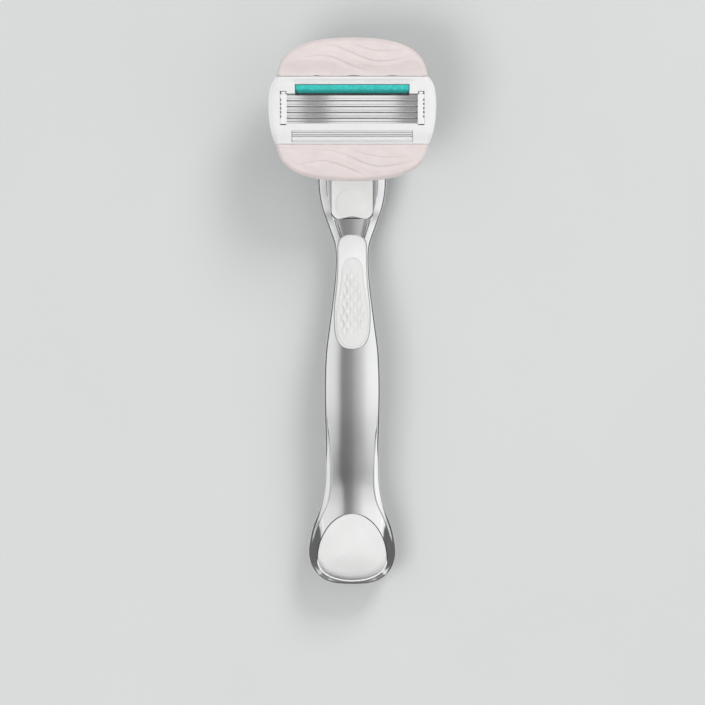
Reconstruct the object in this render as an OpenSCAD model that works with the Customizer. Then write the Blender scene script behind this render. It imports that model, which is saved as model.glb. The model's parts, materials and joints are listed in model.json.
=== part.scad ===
// Cartridge razor lying on its back.
// +Y runs from the pommel to the head, +Z is the side that shaves, Z = 0 is the table.
// The origin is on the table, half way along the razor.

/* [Head] */
// Greatest width of the cartridge head
head_w = 46.2; // [44:0.1:48]
// Height of the shaving face above the table
skin_z = 24; // [24:0.1:25]
// Y of the seam between the housing and the upper moisture bar
upper_seam_y = 64; // [63.8:0.1:64.2]
// Y of the seam between the housing and the lower moisture bar
lower_seam_y = 45.7; // [45.5:0.1:45.9]
// Thickness of the housing
housing_t = 5.3; // [5:0.1:5.6]
// Exposed length of the blades
blade_l = 35.9; // [34:0.1:36.5]
// Distance from one blade to the next
blade_pitch = 1.6; // [1.5:0.01:1.65]

/* [Moisture bars] */
// Length of the upper bar beyond its seam
upper_bar_l = 10.8; // [10:0.1:12]
// Length of the lower bar beyond its seam
lower_bar_l = 10.2; // [9.5:0.1:11]
// Height of the bars above the shaving face
bar_rise = 0.4; // [0:0.1:0.8]
// Gap between a bar and the housing
seam_gap = 0.3; // [0.25:0.05:0.4]

/* [Pivot and docking] */
// Y of the head's pivot axis
pivot_y = 49; // [48.8:0.1:49.2]
// Height of the head's pivot axis
pivot_z = 14; // [13.8:0.1:14.2]
// Angle of the docking direction above the table
dock_tilt = 16; // [14:0.5:17]
// Diameter of the trunnion pins
pin_d = 2.5; // [2.2:0.1:2.6]
// Radial clearance of every hinge pin
pin_play = 0.05; // [0.02:0.01:0.08]
// Distance from the pivot axis to the centre of the cam lug
lug_reach = 4; // [3.8:0.1:4.2]

/* [Fork and button] */
// Width over the fork arms
fork_w = 18.9; // [18:0.1:19.5]
// Width of the slot between the fork arms
slot_w = 11.6; // [11.4:0.1:12]
// Width of the release button
button_w = 11.2; // [10.8:0.1:11.2]

/* [Handle] */
// Width of the neck
neck_w = 9.3; // [8.8:0.1:9.8]
// Width of the belly
belly_w = 15.4; // [14.5:0.1:16]
// Width of the waist above the pommel
waist_w = 14.7; // [14:0.1:15.2]
// Greatest width of the pommel
pommel_w = 24.1; // [22:0.1:25]
// Thickness of the pommel
pommel_t = 13.6; // [13:0.1:14.5]

/* [Grip and pommel cap] */
// Greatest width of the white grip
grip_w = 9.8; // [9.4:0.1:10]
// Y of the arched top of the grip
grip_top_y = 20.7; // [20:0.1:21]
// Y of the lower end of the grip
grip_end_y = -10.7; // [-11.5:0.1:-10]
// Greatest width of the pommel cap
cap_w = 19.2; // [18:0.1:19.6]

/* [Hidden] */
fit = 0.05;
big = 60;

// Handle: rows of [y, half width, lowest z, highest z] from the pommel to the fork tips
pommel_y = -65.5;
pommel_round = 9.1;
fork_tip_y = 43.6;
stations = [
  [pommel_y, pommel_w / 2, -0.4, pommel_t],
  [-58.9, 0.89 * pommel_w / 2, 0.3, pommel_t - 0.2],
  [-52.4, 8.3, 1.2, pommel_t - 0.4],
  [-43, waist_w / 2, 2.1, pommel_t - 0.3],
  [-33, 7.45, 2.7, pommel_t + 0.4],
  [-22, belly_w / 2, 3, pommel_t + 1.2],
  [-10.7, 7.3, 2.7, pommel_t + 0.8],
  [2, 5.7, 2, 12.6],
  [12.5, neck_w / 2, 1, 10.6],
  [18, neck_w / 2 + 0.2, 0.3, 9.6],
  [24.3, 7.1, -0.4, 8.9],
  [30.9, 0.96 * fork_w / 2, 0.9, 9.9],
  [37, fork_w / 2, 3.2, 11.6],
  [fork_tip_y, fork_w / 2, 5.4, 13.2]
];
ring_steps = 3;
section_points = 20;
section_power = 2 / 2.7;

// Docking frame of reference: origin on the pivot axis, +Y along the docking direction
nose_w = 8.4;
nose_z = [-6.6, -1.4];
nose_tip = -5.4;
socket_wall = 0.9;
socket_y = [-8.6, -3.8];
socket_z = [nose_z[0] - fit - socket_wall, nose_z[1] + fit + socket_wall];
yoke_w = 21.8;
yoke_y = [-4.8, 2];
yoke_z = [-3.6, 2.2];
lug_r = 1.1;
lug_w = 4;
lug_slot_w = 5.2;
plunger_r = 1.9;
plunger_back = -8;
stem_r = 0.8;
stem_back = -14.9;
plunger_spring_back = -15;
ear_x = [11.2, 13.4];
ear_r = 2.6;
pin_end = 13.3;

recess_w = 13.7;
recess_floor = -0.6;

// Release button, in the docking frame of reference
button_y = [-24.6, -12.2];
button_floor = -1.2;
button_top = 0.9;
button_spring_y = [-22.2, -17.6];
tab_y = [-23.6, -22.2];
tab_bottom = -4.6;

// Head
head_back_z = skin_z - housing_t - 1.2;
housing_z = skin_z - housing_t;
band_bulge = 1.25;
blade_first_y = 51.7;
blade_half = blade_l / 2 + 0.5;
blade_back = 0.6;
window_y = [51.1, 59.4];
clip_w = 1.7;
clip_leg_x = blade_l / 2 + 1;
clip_y = [51, 60.1];
strip_y = [59.55, 61.9];
strip_half = 15.6;
guard_y = [46.4, 49.1];
guard_half = 16.5;
wing_pin_r = 0.7;
wing_pin_z = head_back_z + 1;
wing_arm_x = [14, 16];
upper_hinge_y = upper_seam_y + 1.3;
lower_hinge_y = lower_seam_y - 1.3;
wing_top_z = skin_z - 4.2;

// Points of a cubic curve from a to d with the handles b and c
function curve(a, b, c, d, n) =
  [for (i = [0:n]) let (t = i / n, s = 1 - t)
    s * s * s * a + 3 * s * s * t * b + 3 * s * t * t * c + t * t * t * d];
// The same list of points, mirrored in X and reversed
function mirrored(points) =
  [for (i = [len(points) - 1:-1:0]) [-points[i][0], points[i][1]]];

// Handle loft: slopes at the stations, and the value of one column between two of them
function slope(i, c) =
  let (a = max(i - 1, 0), b = min(i + 1, len(stations) - 1))
  (stations[b][c] - stations[a][c]) / (stations[b][0] - stations[a][0]);
function between(i, t, c) =
  let (h = stations[i + 1][0] - stations[i][0], t2 = t * t, t3 = t2 * t)
  (2 * t3 - 3 * t2 + 1) * stations[i][c] + (t3 - 2 * t2 + t) * h * slope(i, c)
  + (3 * t2 - 2 * t3) * stations[i + 1][c] + (t3 - t2) * h * slope(i + 1, c);
function ring_row(i, t) =
  [stations[i][0] + t * (stations[i + 1][0] - stations[i][0]),
   between(i, t, 1), between(i, t, 2), between(i, t, 3)];
// Rows of the rounded pommel end, at angles down to its tip
function end_row(a) =
  let (mid = (stations[0][2] + stations[0][3]) / 2, half = (stations[0][3] - stations[0][2]) / 2)
  [pommel_y - pommel_round * sin(a), stations[0][1] * cos(a),
   mid - half * cos(a), mid + half * cos(a)];
function signed_power(v, p) = sign(v) * pow(abs(v), p);
function section(row, grow) =
  let (mid = (row[2] + row[3]) / 2, half = (row[3] - row[2]) / 2 + grow)
  [for (k = [0:section_points - 1]) let (a = 360 * k / section_points)
    [(row[1] + grow) * signed_power(cos(a), section_power), row[0],
     mid + half * signed_power(sin(a), section_power)]];
handle_rows = concat(
  [for (a = [89, 78, 64, 48, 32, 16]) end_row(a)],
  [for (i = [0:len(stations) - 2]) for (j = [0:ring_steps - 1]) ring_row(i, j / ring_steps)],
  [stations[len(stations) - 1]]);

// The handle's outer shape, grown all round
module handle_loft(grow) {
  points = [for (row = handle_rows) each section(row, grow)];
  n = section_points;
  last = len(handle_rows) - 1;
  walls = [for (r = [0:last - 1]) for (k = [0:n - 1])
    [r * n + k, r * n + (k + 1) % n, (r + 1) * n + (k + 1) % n, (r + 1) * n + k]];
  polyhedron(
    points,
    concat([[for (k = [n - 1:-1:0]) k]], walls, [[for (k = [0:n - 1]) last * n + k]]),
    convexity = 6);
}

// Places a shape in the docking frame of reference
module dock() {
  translate([0, pivot_y, pivot_z])
    rotate([dock_tilt, 0, 0])
      children();
}
// A block from ranges in X, Y and Z
module block(x, y, z) {
  translate([x[0], y[0], z[0]])
    cube([x[1] - x[0], y[1] - y[0], z[1] - z[0]]);
}
// A rod along X from x[0] to x[1]
module rod_x(x, y, z, r) {
  translate([x[0], y, z])
    rotate([0, 90, 0])
      cylinder(h = x[1] - x[0], r = r, $fn = 48);
}
// A rod along Y from y[0] to y[1]
module rod_y(y, z, r) {
  translate([0, y[0], z])
    rotate([-90, 0, 0])
      cylinder(h = y[1] - y[0], r = r, $fn = 48);
}
// An outline drawn in the YZ plane and drawn out along X
module along_x(x, points) {
  translate([x[0], 0, 0])
    rotate([90, 0, 90])
      linear_extrude(x[1] - x[0])
        polygon(points);
}
// Both sides of a shape that lies at positive X
module both_sides() {
  children();
  mirror([1, 0, 0])
    children();
}

// The tilted floor of the grip's pocket and what stands on it
module on_grip_floor(lift) {
  translate([0, 5, 9.7 + lift])
    rotate([-9, 0, 0])
      translate([0, -5, 0])
        children();
}
function grip_side(w) =
  concat(
    curve([0, grip_top_y], [2.6, grip_top_y], [4.2, grip_top_y - 1], [4, grip_top_y - 4], 6),
    curve([4, 9], [4.1, 4], [w / 2, 2], [w / 2, -3], 5),
    curve([w / 2, grip_end_y + 2], [w / 2, grip_end_y + 0.6], [4, grip_end_y], [2.8, grip_end_y], 4));
function pad_side(w) =
  concat(
    curve([0, grip_top_y - 6.4], [1.7, grip_top_y - 6.4], [2.9, grip_top_y - 7.4], [3, grip_top_y - 10], 5),
    curve([3.2, 8], [3.4, 3], [w / 2 - 0.4, 1], [w / 2 - 0.35, -4], 5),
    curve([w / 2 - 0.35, grip_end_y + 2], [w / 2 - 0.5, grip_end_y + 0.8],
          [3.4, grip_end_y + 0.45], [2.4, grip_end_y + 0.45], 4));
module grip_prism(lift) {
  on_grip_floor(lift)
    linear_extrude(12)
      polygon(concat(grip_side(grip_w), mirrored(grip_side(grip_w))));
}
module pad_prism(lift) {
  on_grip_floor(lift)
    linear_extrude(12)
      polygon(concat(pad_side(grip_w), mirrored(pad_side(grip_w))));
}
// Egg outline of the pommel cap
function cap_side() =
  concat(
    curve([0, -55.7], [0.4 * cap_w / 2, -55.7], [0.64 * cap_w / 2, -57.8], [0.82 * cap_w / 2, -61.4], 6),
    curve([0.82 * cap_w / 2, -61.4], [1.17 * cap_w / 2, -68], [0.95 * cap_w / 2, -73.9], [0, -73.9], 9));
module cap_prism(grow, floor_z) {
  translate([0, 0, floor_z])
    linear_extrude(12)
      offset(delta = grow)
        polygon(concat(cap_side(), mirrored(cap_side())));
}

// Shallow recess round the button, which narrows toward the grip
module fork_recess() {
  side = [[recess_w / 2, 0], [recess_w / 2, -16.5], [0.82 * recess_w / 2, -22.5], [3.4, -30]];
  dock()
    translate([0, 0, recess_floor])
      linear_extrude(10)
        polygon(concat(side, mirrored(side)));
}
// Chromed handle: loft with the fork slot, the grip pocket, the cap pocket and flat rests
module handle_body() {
  color("silver")
    difference() {
      handle_loft(0);
      dock()
        block([-slot_w / 2, slot_w / 2], [-25.2, 10], [-20, 20]);
      fork_recess();
      grip_prism(0);
      cap_prism(0.05, pommel_t - 2.2);
      block([-big, big], [-2 * big, big], [-10, 0]);
    }
}
// Plastic block between the fork arms, with the nose that the cartridge docks on
module docking_frame() {
  color("gainsboro")
    dock()
      difference() {
        union() {
          block([-slot_w / 2, slot_w / 2], [-25.1, -9.4], [-6.6, nose_z[1]]);
          block([-nose_w / 2, nose_w / 2], [-9.4, nose_tip], nose_z);
        }
        rod_y([plunger_spring_back, 0], -lug_reach, plunger_r + fit);
        rod_y([-18, plunger_spring_back + 1], -lug_reach, stem_r + 0.1);
        block([-1.7, 1.7], [tab_y[0] - 0.2, button_spring_y[1]], [-5, 0]);
      }
}
// White insert in the handle's front, with a recess for the pad
module grip_bezel() {
  color("white")
    difference() {
      intersection() {
        handle_loft(0.3);
        grip_prism(0);
      }
      pad_prism(0.8);
    }
}
// Softer pad inside the grip
module grip_pad() {
  color("whitesmoke")
    intersection() {
      handle_loft(0.8);
      pad_prism(0.8);
    }
}
// Egg-shaped cap on the front of the pommel
module pommel_cap() {
  color("whitesmoke")
    intersection() {
      handle_loft(0.35);
      cap_prism(0, pommel_t - 2.2);
    }
}
// Return spring of the button, as the sleeve that its coils fill
module button_spring() {
  color("darkgray")
    dock()
      difference() {
        rod_y([button_spring_y[0] + fit, button_spring_y[1]], -3.2, 1.3);
        rod_y(button_spring_y, -3.2, 0.8);
      }
}
// Spring around the plunger's stem, as the sleeve that its coils fill
module plunger_spring() {
  color("darkgray")
    dock()
      difference() {
        rod_y([plunger_spring_back, plunger_back], -lug_reach, 1.8);
        rod_y([plunger_spring_back - 1, plunger_back + 1], -lug_reach, 1.2);
      }
}
// Sliding button: a plate with a thumb dish, and a tab that presses its spring
module release_button() {
  half = button_w / 2;
  color("white")
    dock()
      union() {
        difference() {
          along_x([-half, half], [
            [button_y[0], button_floor], [button_y[1], button_floor],
            [button_y[1], button_top + 0.5], [button_y[1] - 3, button_top + 0.8],
            [button_y[0] + 3, button_top], [button_y[0], button_top - 0.7]]);
          translate([0, (button_y[0] + button_y[1]) / 2 - 1, button_top + 22.7])
            sphere(r = 23.6, $fn = 96);
        }
        block([-1.6, 1.6], tab_y, [tab_bottom, button_floor + 0.1]);
      }
}
// Spring-loaded plunger that presses the cam lug
module plunger() {
  color("gray")
    dock()
      union() {
        rod_y([plunger_back, -lug_r - 0.02], -lug_reach, plunger_r);
        rod_y([stem_back, plunger_back + 0.5], -lug_reach, stem_r);
      }
}
// Yoke of the cartridge: socket for the nose, two arms and two trunnion pins
module connector() {
  color("whitesmoke")
    dock()
      difference() {
        union() {
          block([-nose_w / 2 - socket_wall - fit, nose_w / 2 + socket_wall + fit], socket_y, socket_z);
          both_sides()
            block([lug_slot_w / 2, yoke_w / 2], yoke_y, yoke_z);
          both_sides()
            rod_x([yoke_w / 2 - 0.5, pin_end], 0, 0, pin_d / 2);
        }
        block([-nose_w / 2 - fit, nose_w / 2 + fit], [socket_y[0] - 1, nose_tip + 0.2],
              [nose_z[0] - fit, nose_z[1] + fit]);
        rod_y([socket_y[0], 0], -lug_reach, plunger_r + 0.2);
      }
}
// Half of the housing's outline, from the upper seam down the right side
function band_side(inset) =
  curve([head_w / 2 - 1.1 - inset, upper_seam_y - inset],
        [head_w / 2 + 0.35 - inset, 58.5], [head_w / 2 + 0.35 - inset, 51],
        [head_w / 2 - 1.7 - inset, lower_seam_y + inset], 10);
module band_outline(inset) {
  polygon(concat(band_side(inset), mirrored(band_side(inset))));
}
// Frame behind the housing: pivot ears, cam lug and the arms of the wing hinges
module back_frame() {
  lug_dy = lug_reach * sin(dock_tilt);
  lug_dz = lug_reach * cos(dock_tilt);
  color("white")
    difference() {
      union() {
        translate([0, 0, head_back_z])
          linear_extrude(housing_z - head_back_z)
            band_outline(1.4);
        both_sides()
          along_x(ear_x, [
            [pivot_y - ear_r, pivot_z], [pivot_y + ear_r, pivot_z],
            [pivot_y + ear_r, head_back_z + 0.2], [pivot_y - ear_r, head_back_z + 0.2]]);
        both_sides()
          rod_x(ear_x, pivot_y, pivot_z, ear_r);
        rod_x([-lug_w / 2, lug_w / 2], pivot_y + lug_dy, pivot_z - lug_dz, lug_r);
        along_x([-lug_w / 2, lug_w / 2], [
          [pivot_y + lug_dy - lug_r, pivot_z - lug_dz], [pivot_y + lug_dy + lug_r, pivot_z - lug_dz],
          [pivot_y + lug_dy + lug_r, head_back_z + 0.2], [pivot_y + lug_dy - lug_r, head_back_z + 0.2]]);
        both_sides()
          wing_arm(upper_hinge_y, upper_hinge_y - 4);
        both_sides()
          wing_arm(lower_hinge_y, lower_hinge_y + 4);
      }
      both_sides()
        rod_x([ear_x[0] - 1, ear_x[1] + 1], pivot_y, pivot_z, pin_d / 2 + pin_play);
      both_sides()
        rod_x([wing_arm_x[0] - 1, wing_arm_x[1] + 1], upper_hinge_y, wing_pin_z, wing_pin_r + pin_play);
      both_sides()
        rod_x([wing_arm_x[0] - 1, wing_arm_x[1] + 1], lower_hinge_y, wing_pin_z, wing_pin_r + pin_play);
      block([-17.4, 17.4], [52.6, 59.2], [head_back_z - 1, housing_z + 1]);
    }
}
// One arm of the back frame, ending in a wing hinge's eye
module wing_arm(hinge_y, root_y) {
  rod_x(wing_arm_x, hinge_y, wing_pin_z, 1.25);
  block(wing_arm_x, [min(hinge_y, root_y), max(hinge_y, root_y)], [head_back_z, housing_z]);
}
// White oval housing with the blade window and the seats of the strip, guard and clips
module housing() {
  color("white")
    difference() {
      union() {
        translate([0, 0, housing_z])
          linear_extrude(housing_t - 0.8)
            band_outline(0);
        translate([0, 0, skin_z - 0.8])
          linear_extrude(0.8)
            band_outline(0.5);
      }
      block([-blade_half - 0.1, blade_half + 0.1], window_y, [0, skin_z + 1]);
      block([-strip_half, strip_half], strip_y, [skin_z - 1.2, skin_z + 1]);
      block([-guard_half, guard_half], guard_y, [skin_z - 1.5, skin_z + 1]);
      both_sides()
        block([blade_l / 2 - fit, blade_l / 2 + clip_w + fit], [clip_y[0] - fit, clip_y[1] + fit],
              [skin_z - 0.1, skin_z + 1]);
      both_sides()
        for (y = [clip_y[0], clip_y[1] - 0.5])
          block([clip_leg_x - fit, blade_l / 2 + clip_w + fit], [y - fit, y + 0.5 + fit], [0, skin_z + 1]);
    }
}
// Soft guard in front of the blades, with four fins
module guard() {
  color("white")
    union() {
      block([-guard_half, guard_half], guard_y, [skin_z - 1.5, skin_z - 0.4]);
      for (i = [0:3])
        block([-guard_half, guard_half], [guard_y[0] + 0.15 + 0.68 * i, guard_y[0] + 0.51 + 0.68 * i],
              [skin_z - 0.5, skin_z + 0.1]);
    }
}
// Lubricating strip, chamfered along both long edges
module lubricating_strip() {
  color("lightseagreen")
    along_x([-strip_half, strip_half], [
      [strip_y[0], skin_z - 1.2], [strip_y[1], skin_z - 1.2], [strip_y[1], skin_z + 0.05],
      [strip_y[1] - 0.5, skin_z + 0.35], [strip_y[0] + 0.5, skin_z + 0.35], [strip_y[0], skin_z + 0.05]]);
}
// Metal clip over the blade ends, with two legs through the housing
module end_clip(side) {
  mirror([side < 0 ? 1 : 0, 0, 0])
    union() {
      block([blade_l / 2, blade_l / 2 + clip_w], clip_y, [skin_z - 0.05, skin_z + 0.2]);
      for (y = [clip_y[0], clip_y[1] - 0.5])
        block([clip_leg_x, blade_l / 2 + clip_w], [y, y + 0.5], [housing_z, skin_z + 0.1]);
    }
}
module clip_left() {
  color("white")
    end_clip(-1);
}
module clip_right() {
  color("white")
    end_clip(1);
}
// Outline of a moisture bar: half width at the seam, seam y, outer y, pulled in all round
function bar_side(half, seam, outer, inset) =
  let (way = outer > seam ? 1 : -1, far = outer - way * inset)
  curve([half - inset, seam], [half - 1 - inset, seam + 0.68 * (far - seam)],
        [0.66 * half - inset / 2, far], [0, far], 12);
module bar_outline(half, seam, outer, inset) {
  side = bar_side(half, seam, outer, inset);
  polygon(concat(side, mirrored(side)));
}
// A bar: flat underneath, crowned on top
module moisture_bar(half, seam, outer) {
  hull() {
    translate([0, 0, wing_top_z])
      linear_extrude(0.1)
        bar_outline(half, seam, outer, 1.2);
    translate([0, 0, wing_top_z + 1])
      linear_extrude(1)
        bar_outline(half, seam, outer, 0);
    translate([0, 0, skin_z - 0.7])
      linear_extrude(0.1)
        bar_outline(half, seam, outer, 1.4);
    translate([0, 0, skin_z + bar_rise - 0.1])
      linear_extrude(0.1)
        bar_outline(half, seam, outer, 4);
  }
}
// A wing: the carrier of a bar, notched for the back frame's arms, with its hinge pins
module wing(half, seam, outer, hinge_y) {
  way = outer > seam ? 1 : -1;
  notch_y = [seam - way, hinge_y + way * 1.6];
  union() {
    difference() {
      translate([0, 0, head_back_z + 0.1])
        linear_extrude(wing_top_z - head_back_z - 0.1)
          bar_outline(half, seam, outer, 1.6);
      both_sides()
        block([wing_arm_x[0] - 0.3, wing_arm_x[1] + 0.3], [min(notch_y), max(notch_y)],
              [0, wing_top_z + 1]);
    }
    both_sides()
      rod_x([wing_arm_x[0] - 1, wing_arm_x[1] + 1], hinge_y, wing_pin_z, wing_pin_r);
  }
}
module upper_wing() {
  color("white")
    wing(head_w / 2 - 1.6, upper_seam_y + seam_gap, upper_seam_y + upper_bar_l, upper_hinge_y);
}
module upper_moisture_bar() {
  color("mistyrose")
    moisture_bar(head_w / 2 - 1.6, upper_seam_y + seam_gap, upper_seam_y + upper_bar_l);
}
module lower_wing() {
  color("white")
    wing(head_w / 2 - 1.9, lower_seam_y - seam_gap, lower_seam_y - lower_bar_l, lower_hinge_y);
}
module lower_moisture_bar() {
  color("mistyrose")
    moisture_bar(head_w / 2 - 1.9, lower_seam_y - seam_gap, lower_seam_y - lower_bar_l);
}
// Blade k, counted from the guard: a thin strip that slopes up to its edge
module blade(k) {
  y = blade_first_y + (k - 1) * blade_pitch;
  color("silver")
    along_x([-blade_half, blade_half], [
      [y - 0.35, skin_z - 0.12], [y - 0.3, skin_z - 0.24],
      [y + blade_back, skin_z - 0.62], [y + blade_back, skin_z - 0.48]]);
}
// The bent strip that carries blade k
module blade_support(k) {
  y = blade_first_y + (k - 1) * blade_pitch;
  color("gray")
    along_x([-blade_half, blade_half], [
      [y - 0.15, skin_z - 0.3033], [y + blade_back, skin_z - 0.62], [y + blade_back, skin_z - 3.2],
      [y + blade_back - 0.25, skin_z - 3.2], [y + blade_back - 0.25, skin_z - 0.85],
      [y - 0.15, skin_z - 0.6]]);
}

handle_body();
docking_frame();
grip_bezel();
grip_pad();
pommel_cap();
button_spring();
plunger_spring();
release_button();
plunger();
connector();
back_frame();
housing();
guard();
lubricating_strip();
clip_left();
clip_right();
upper_wing();
upper_moisture_bar();
lower_wing();
lower_moisture_bar();
blade(1);  // blade_1
blade(2);  // blade_2
blade(3);  // blade_3
blade(4);  // blade_4
blade(5);  // blade_5
blade_support(1);  // blade_support_1
blade_support(2);  // blade_support_2
blade_support(3);  // blade_support_3
blade_support(4);  // blade_support_4
blade_support(5);  // blade_support_5
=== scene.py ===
import json
import math

import bmesh
import bpy
import numpy as np
from mathutils import Matrix, Vector


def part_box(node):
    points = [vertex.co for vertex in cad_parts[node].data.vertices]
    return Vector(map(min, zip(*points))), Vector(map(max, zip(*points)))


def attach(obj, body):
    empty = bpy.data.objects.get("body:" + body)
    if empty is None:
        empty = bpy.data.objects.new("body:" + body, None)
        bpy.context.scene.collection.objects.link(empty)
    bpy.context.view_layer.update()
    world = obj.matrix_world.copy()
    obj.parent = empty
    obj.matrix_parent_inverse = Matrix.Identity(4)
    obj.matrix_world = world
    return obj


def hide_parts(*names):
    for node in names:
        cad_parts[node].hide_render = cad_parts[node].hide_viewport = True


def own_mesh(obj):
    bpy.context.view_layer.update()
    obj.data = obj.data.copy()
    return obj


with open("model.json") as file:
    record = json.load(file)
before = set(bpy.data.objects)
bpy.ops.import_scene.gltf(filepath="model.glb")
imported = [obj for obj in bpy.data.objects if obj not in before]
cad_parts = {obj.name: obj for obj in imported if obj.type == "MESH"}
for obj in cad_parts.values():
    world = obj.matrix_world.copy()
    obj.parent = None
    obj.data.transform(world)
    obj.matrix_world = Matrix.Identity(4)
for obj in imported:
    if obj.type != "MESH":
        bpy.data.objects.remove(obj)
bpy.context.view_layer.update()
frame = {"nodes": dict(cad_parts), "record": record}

bl_info = {
    "name": "Cartridge Razor",
    "version": (1, 0, 0),
    "blender": (4, 5, 0),
    "location": "View3D > Sidebar > Razor",
    "description": "Builds the visible pieces of a cartridge razor round its packed frame",
    "category": "Object",
}

MM = 0.001
BMVert, BMEdge, BMFace = bmesh.types.BMVert, bmesh.types.BMEdge, bmesh.types.BMFace


# ---------------------------------------------------------------- places from the frame

def box_mm(node):
    """Lowest and highest corner of a frame node, in millimetres."""
    low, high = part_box(node)
    return low / MM, high / MM


def joint_place(name):
    """Pivot point of a hinge, in millimetres, and its axis."""
    for joint in frame["record"]["behaviour"]["joints"]:
        if joint["name"] == name:
            return Vector(joint.get("pos_m", (0, 0, 0))) / MM, Vector(joint["axis"])
    raise ValueError("the frame has no joint named " + name)


SKIN_Z = box_mm("housing")[1].z
PIVOT, _ = joint_place("head_pivot")
_, DOCK_AXIS = joint_place("cartridge_release")
DOCK_SLOPE = DOCK_AXIS.z / DOCK_AXIS.y
DOCK_COS = DOCK_AXIS.y
HANDLE_LOW = box_mm("handle_body")[0]
FORK_HALF = (box_mm("docking_frame")[1] - box_mm("docking_frame")[0]).x / 2


def dock_height(y, lift):
    """Height at y of a plane that lies lift above the docking axis."""
    return PIVOT.z + (y - PIVOT.y) * DOCK_SLOPE + lift / DOCK_COS


# ---------------------------------------------------------------- small mathematics

def smooth(t):
    """0 to 1 with soft ends."""
    t = min(max(t, 0.0), 1.0)
    return t * t * (3 - 2 * t)


def mix(a, b, t):
    return a + (b - a) * t


def bezier(a, b, c, d, t):
    s = 1 - t
    return tuple(
        s**3 * p + 3 * s * s * t * q + 3 * s * t * t * r + t**3 * w
        for p, q, r, w in zip(a, b, c, d)
    )


def table_row(table, y):
    """The values of a table of stations at y, on a smooth curve through its rows."""
    if y <= table[0][0]:
        return list(table[0][1:])
    if y >= table[-1][0]:
        return list(table[-1][1:])
    i = max(k for k in range(len(table) - 1) if table[k][0] <= y)
    a, b = table[i], table[i + 1]
    before, after = table[max(i - 1, 0)], table[min(i + 2, len(table) - 1)]
    h = b[0] - a[0]
    t = (y - a[0]) / h
    values = []
    for k in range(1, len(a)):
        slope_a = (b[k] - before[k]) / (b[0] - before[0])
        slope_b = (after[k] - a[k]) / (after[0] - a[0])
        values.append(
            (2 * t**3 - 3 * t * t + 1) * a[k]
            + (t**3 - 2 * t * t + t) * h * slope_a
            + (3 * t * t - 2 * t**3) * b[k]
            + (t**3 - t * t) * h * slope_b
        )
    return values


# ---------------------------------------------------------------- mesh tools

def placed_grid(bm, across, along, place):
    """A grid whose corners go where place(u, v) says, with u and v from 0 to 1."""
    made = bmesh.ops.create_grid(bm, x_segments=across, y_segments=along, size=0.5)
    for vertex in made["verts"]:
        vertex.co = place(vertex.co.x + 0.5, vertex.co.y + 0.5)
    return made["verts"]


def weld(bm, distance=1e-4):
    bmesh.ops.remove_doubles(bm, verts=bm.verts, dist=distance)
    bmesh.ops.dissolve_degenerate(bm, edges=bm.edges, dist=distance)


def of_kind(made, kind):
    """The corners, edges or faces among what an operator made."""
    return [item for item in made if isinstance(item, kind)]


def rim_edges(bm):
    return [edge for edge in bm.edges if edge.is_boundary]


def close_holes(bm):
    bmesh.ops.holes_fill(bm, edges=rim_edges(bm), sides=0)


def raise_to(bm, level):
    """Draws a sheet straight up to a level, which makes it a solid."""
    made = bmesh.ops.extrude_face_region(bm, geom=bm.faces[:])["geom"]
    for vertex in of_kind(made, BMVert):
        vertex.co.z = level


def drop_rim(bm, level):
    """Draws the open rim straight down to a level and closes the underside."""
    made = bmesh.ops.extrude_edge_only(bm, edges=rim_edges(bm))["geom"]
    for vertex in of_kind(made, BMVert):
        vertex.co.z = level
    close_holes(bm)


def outward_directions(edges):
    """For each corner on open edges, the flat direction that points away from the faces."""
    pointing = {}
    for edge in edges:
        face = edge.link_faces[0]
        a, b = edge.verts
        along = (b.co - a.co).to_2d()
        side = Vector((along.y, -along.x))
        if side.length < 1e-9:
            continue
        middle = (a.co + b.co).to_2d() / 2
        if side.dot(face.calc_center_median().to_2d() - middle) > 0:
            side.negate()
        for vertex in edge.verts:
            pointing[vertex] = pointing.get(vertex, Vector((0, 0))) + side.normalized()
    return {vertex: side.normalized() for vertex, side in pointing.items() if side.length > 1e-9}


def roll_edge(bm, steps, close=True):
    """Draws open edges out and down through steps of (outward, drop), then closes the underside."""
    edges = rim_edges(bm)
    pointing = outward_directions(edges)
    start = {vertex: (vertex.co.copy(), side) for vertex, side in pointing.items()}
    for outward, drop in steps:
        made = bmesh.ops.extrude_edge_only(bm, edges=edges)["geom"]
        moved = {}
        for vertex in of_kind(made, BMVert):
            others = (edge.other_vert(vertex) for edge in vertex.link_edges)
            place, side = start[next(other for other in others if other in start)]
            vertex.co = place + Vector((side.x * outward, side.y * outward, -drop))
            moved[vertex] = (place, side)
        start = moved
        edges = [edge for edge in of_kind(made, BMEdge) if edge.is_boundary]
    if close:
        bmesh.ops.holes_fill(bm, edges=edges, sides=0)


def block(bm, low, high):
    """A closed block between two corners."""
    made = bmesh.ops.create_cube(bm, size=1.0)
    size = Vector(high) - Vector(low)
    bmesh.ops.scale(bm, vec=size, verts=made["verts"])
    bmesh.ops.translate(bm, vec=(Vector(high) + Vector(low)) / 2, verts=made["verts"])
    return made["verts"]


def outline_face(bm, points):
    """One face inside a closed outline of points, which may have hollows."""
    corners = [bm.verts.new(point) for point in points]
    edges = [bm.edges.new((a, b)) for a, b in zip(corners, corners[1:] + corners[:1])]
    return bmesh.ops.contextual_create(bm, geom=edges)["faces"][0]


def drawn_along_x(bm, outline, half, cuts):
    """A closed bar: an outline of (y, z) points drawn out along X, from -half to half."""
    face = outline_face(bm, [(-half, y, z) for y, z in outline])
    for step in range(cuts):
        made = bmesh.ops.extrude_face_region(bm, geom=[face])["geom"]
        bmesh.ops.translate(bm, vec=(2 * half / cuts, 0, 0), verts=of_kind(made, BMVert))
        # Only the first face stays, as the bar's end; the later ones would lie inside it
        if step and face.is_valid:
            bmesh.ops.delete(bm, geom=[face], context="FACES_ONLY")
        face = of_kind(made, BMFace)[0]


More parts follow.
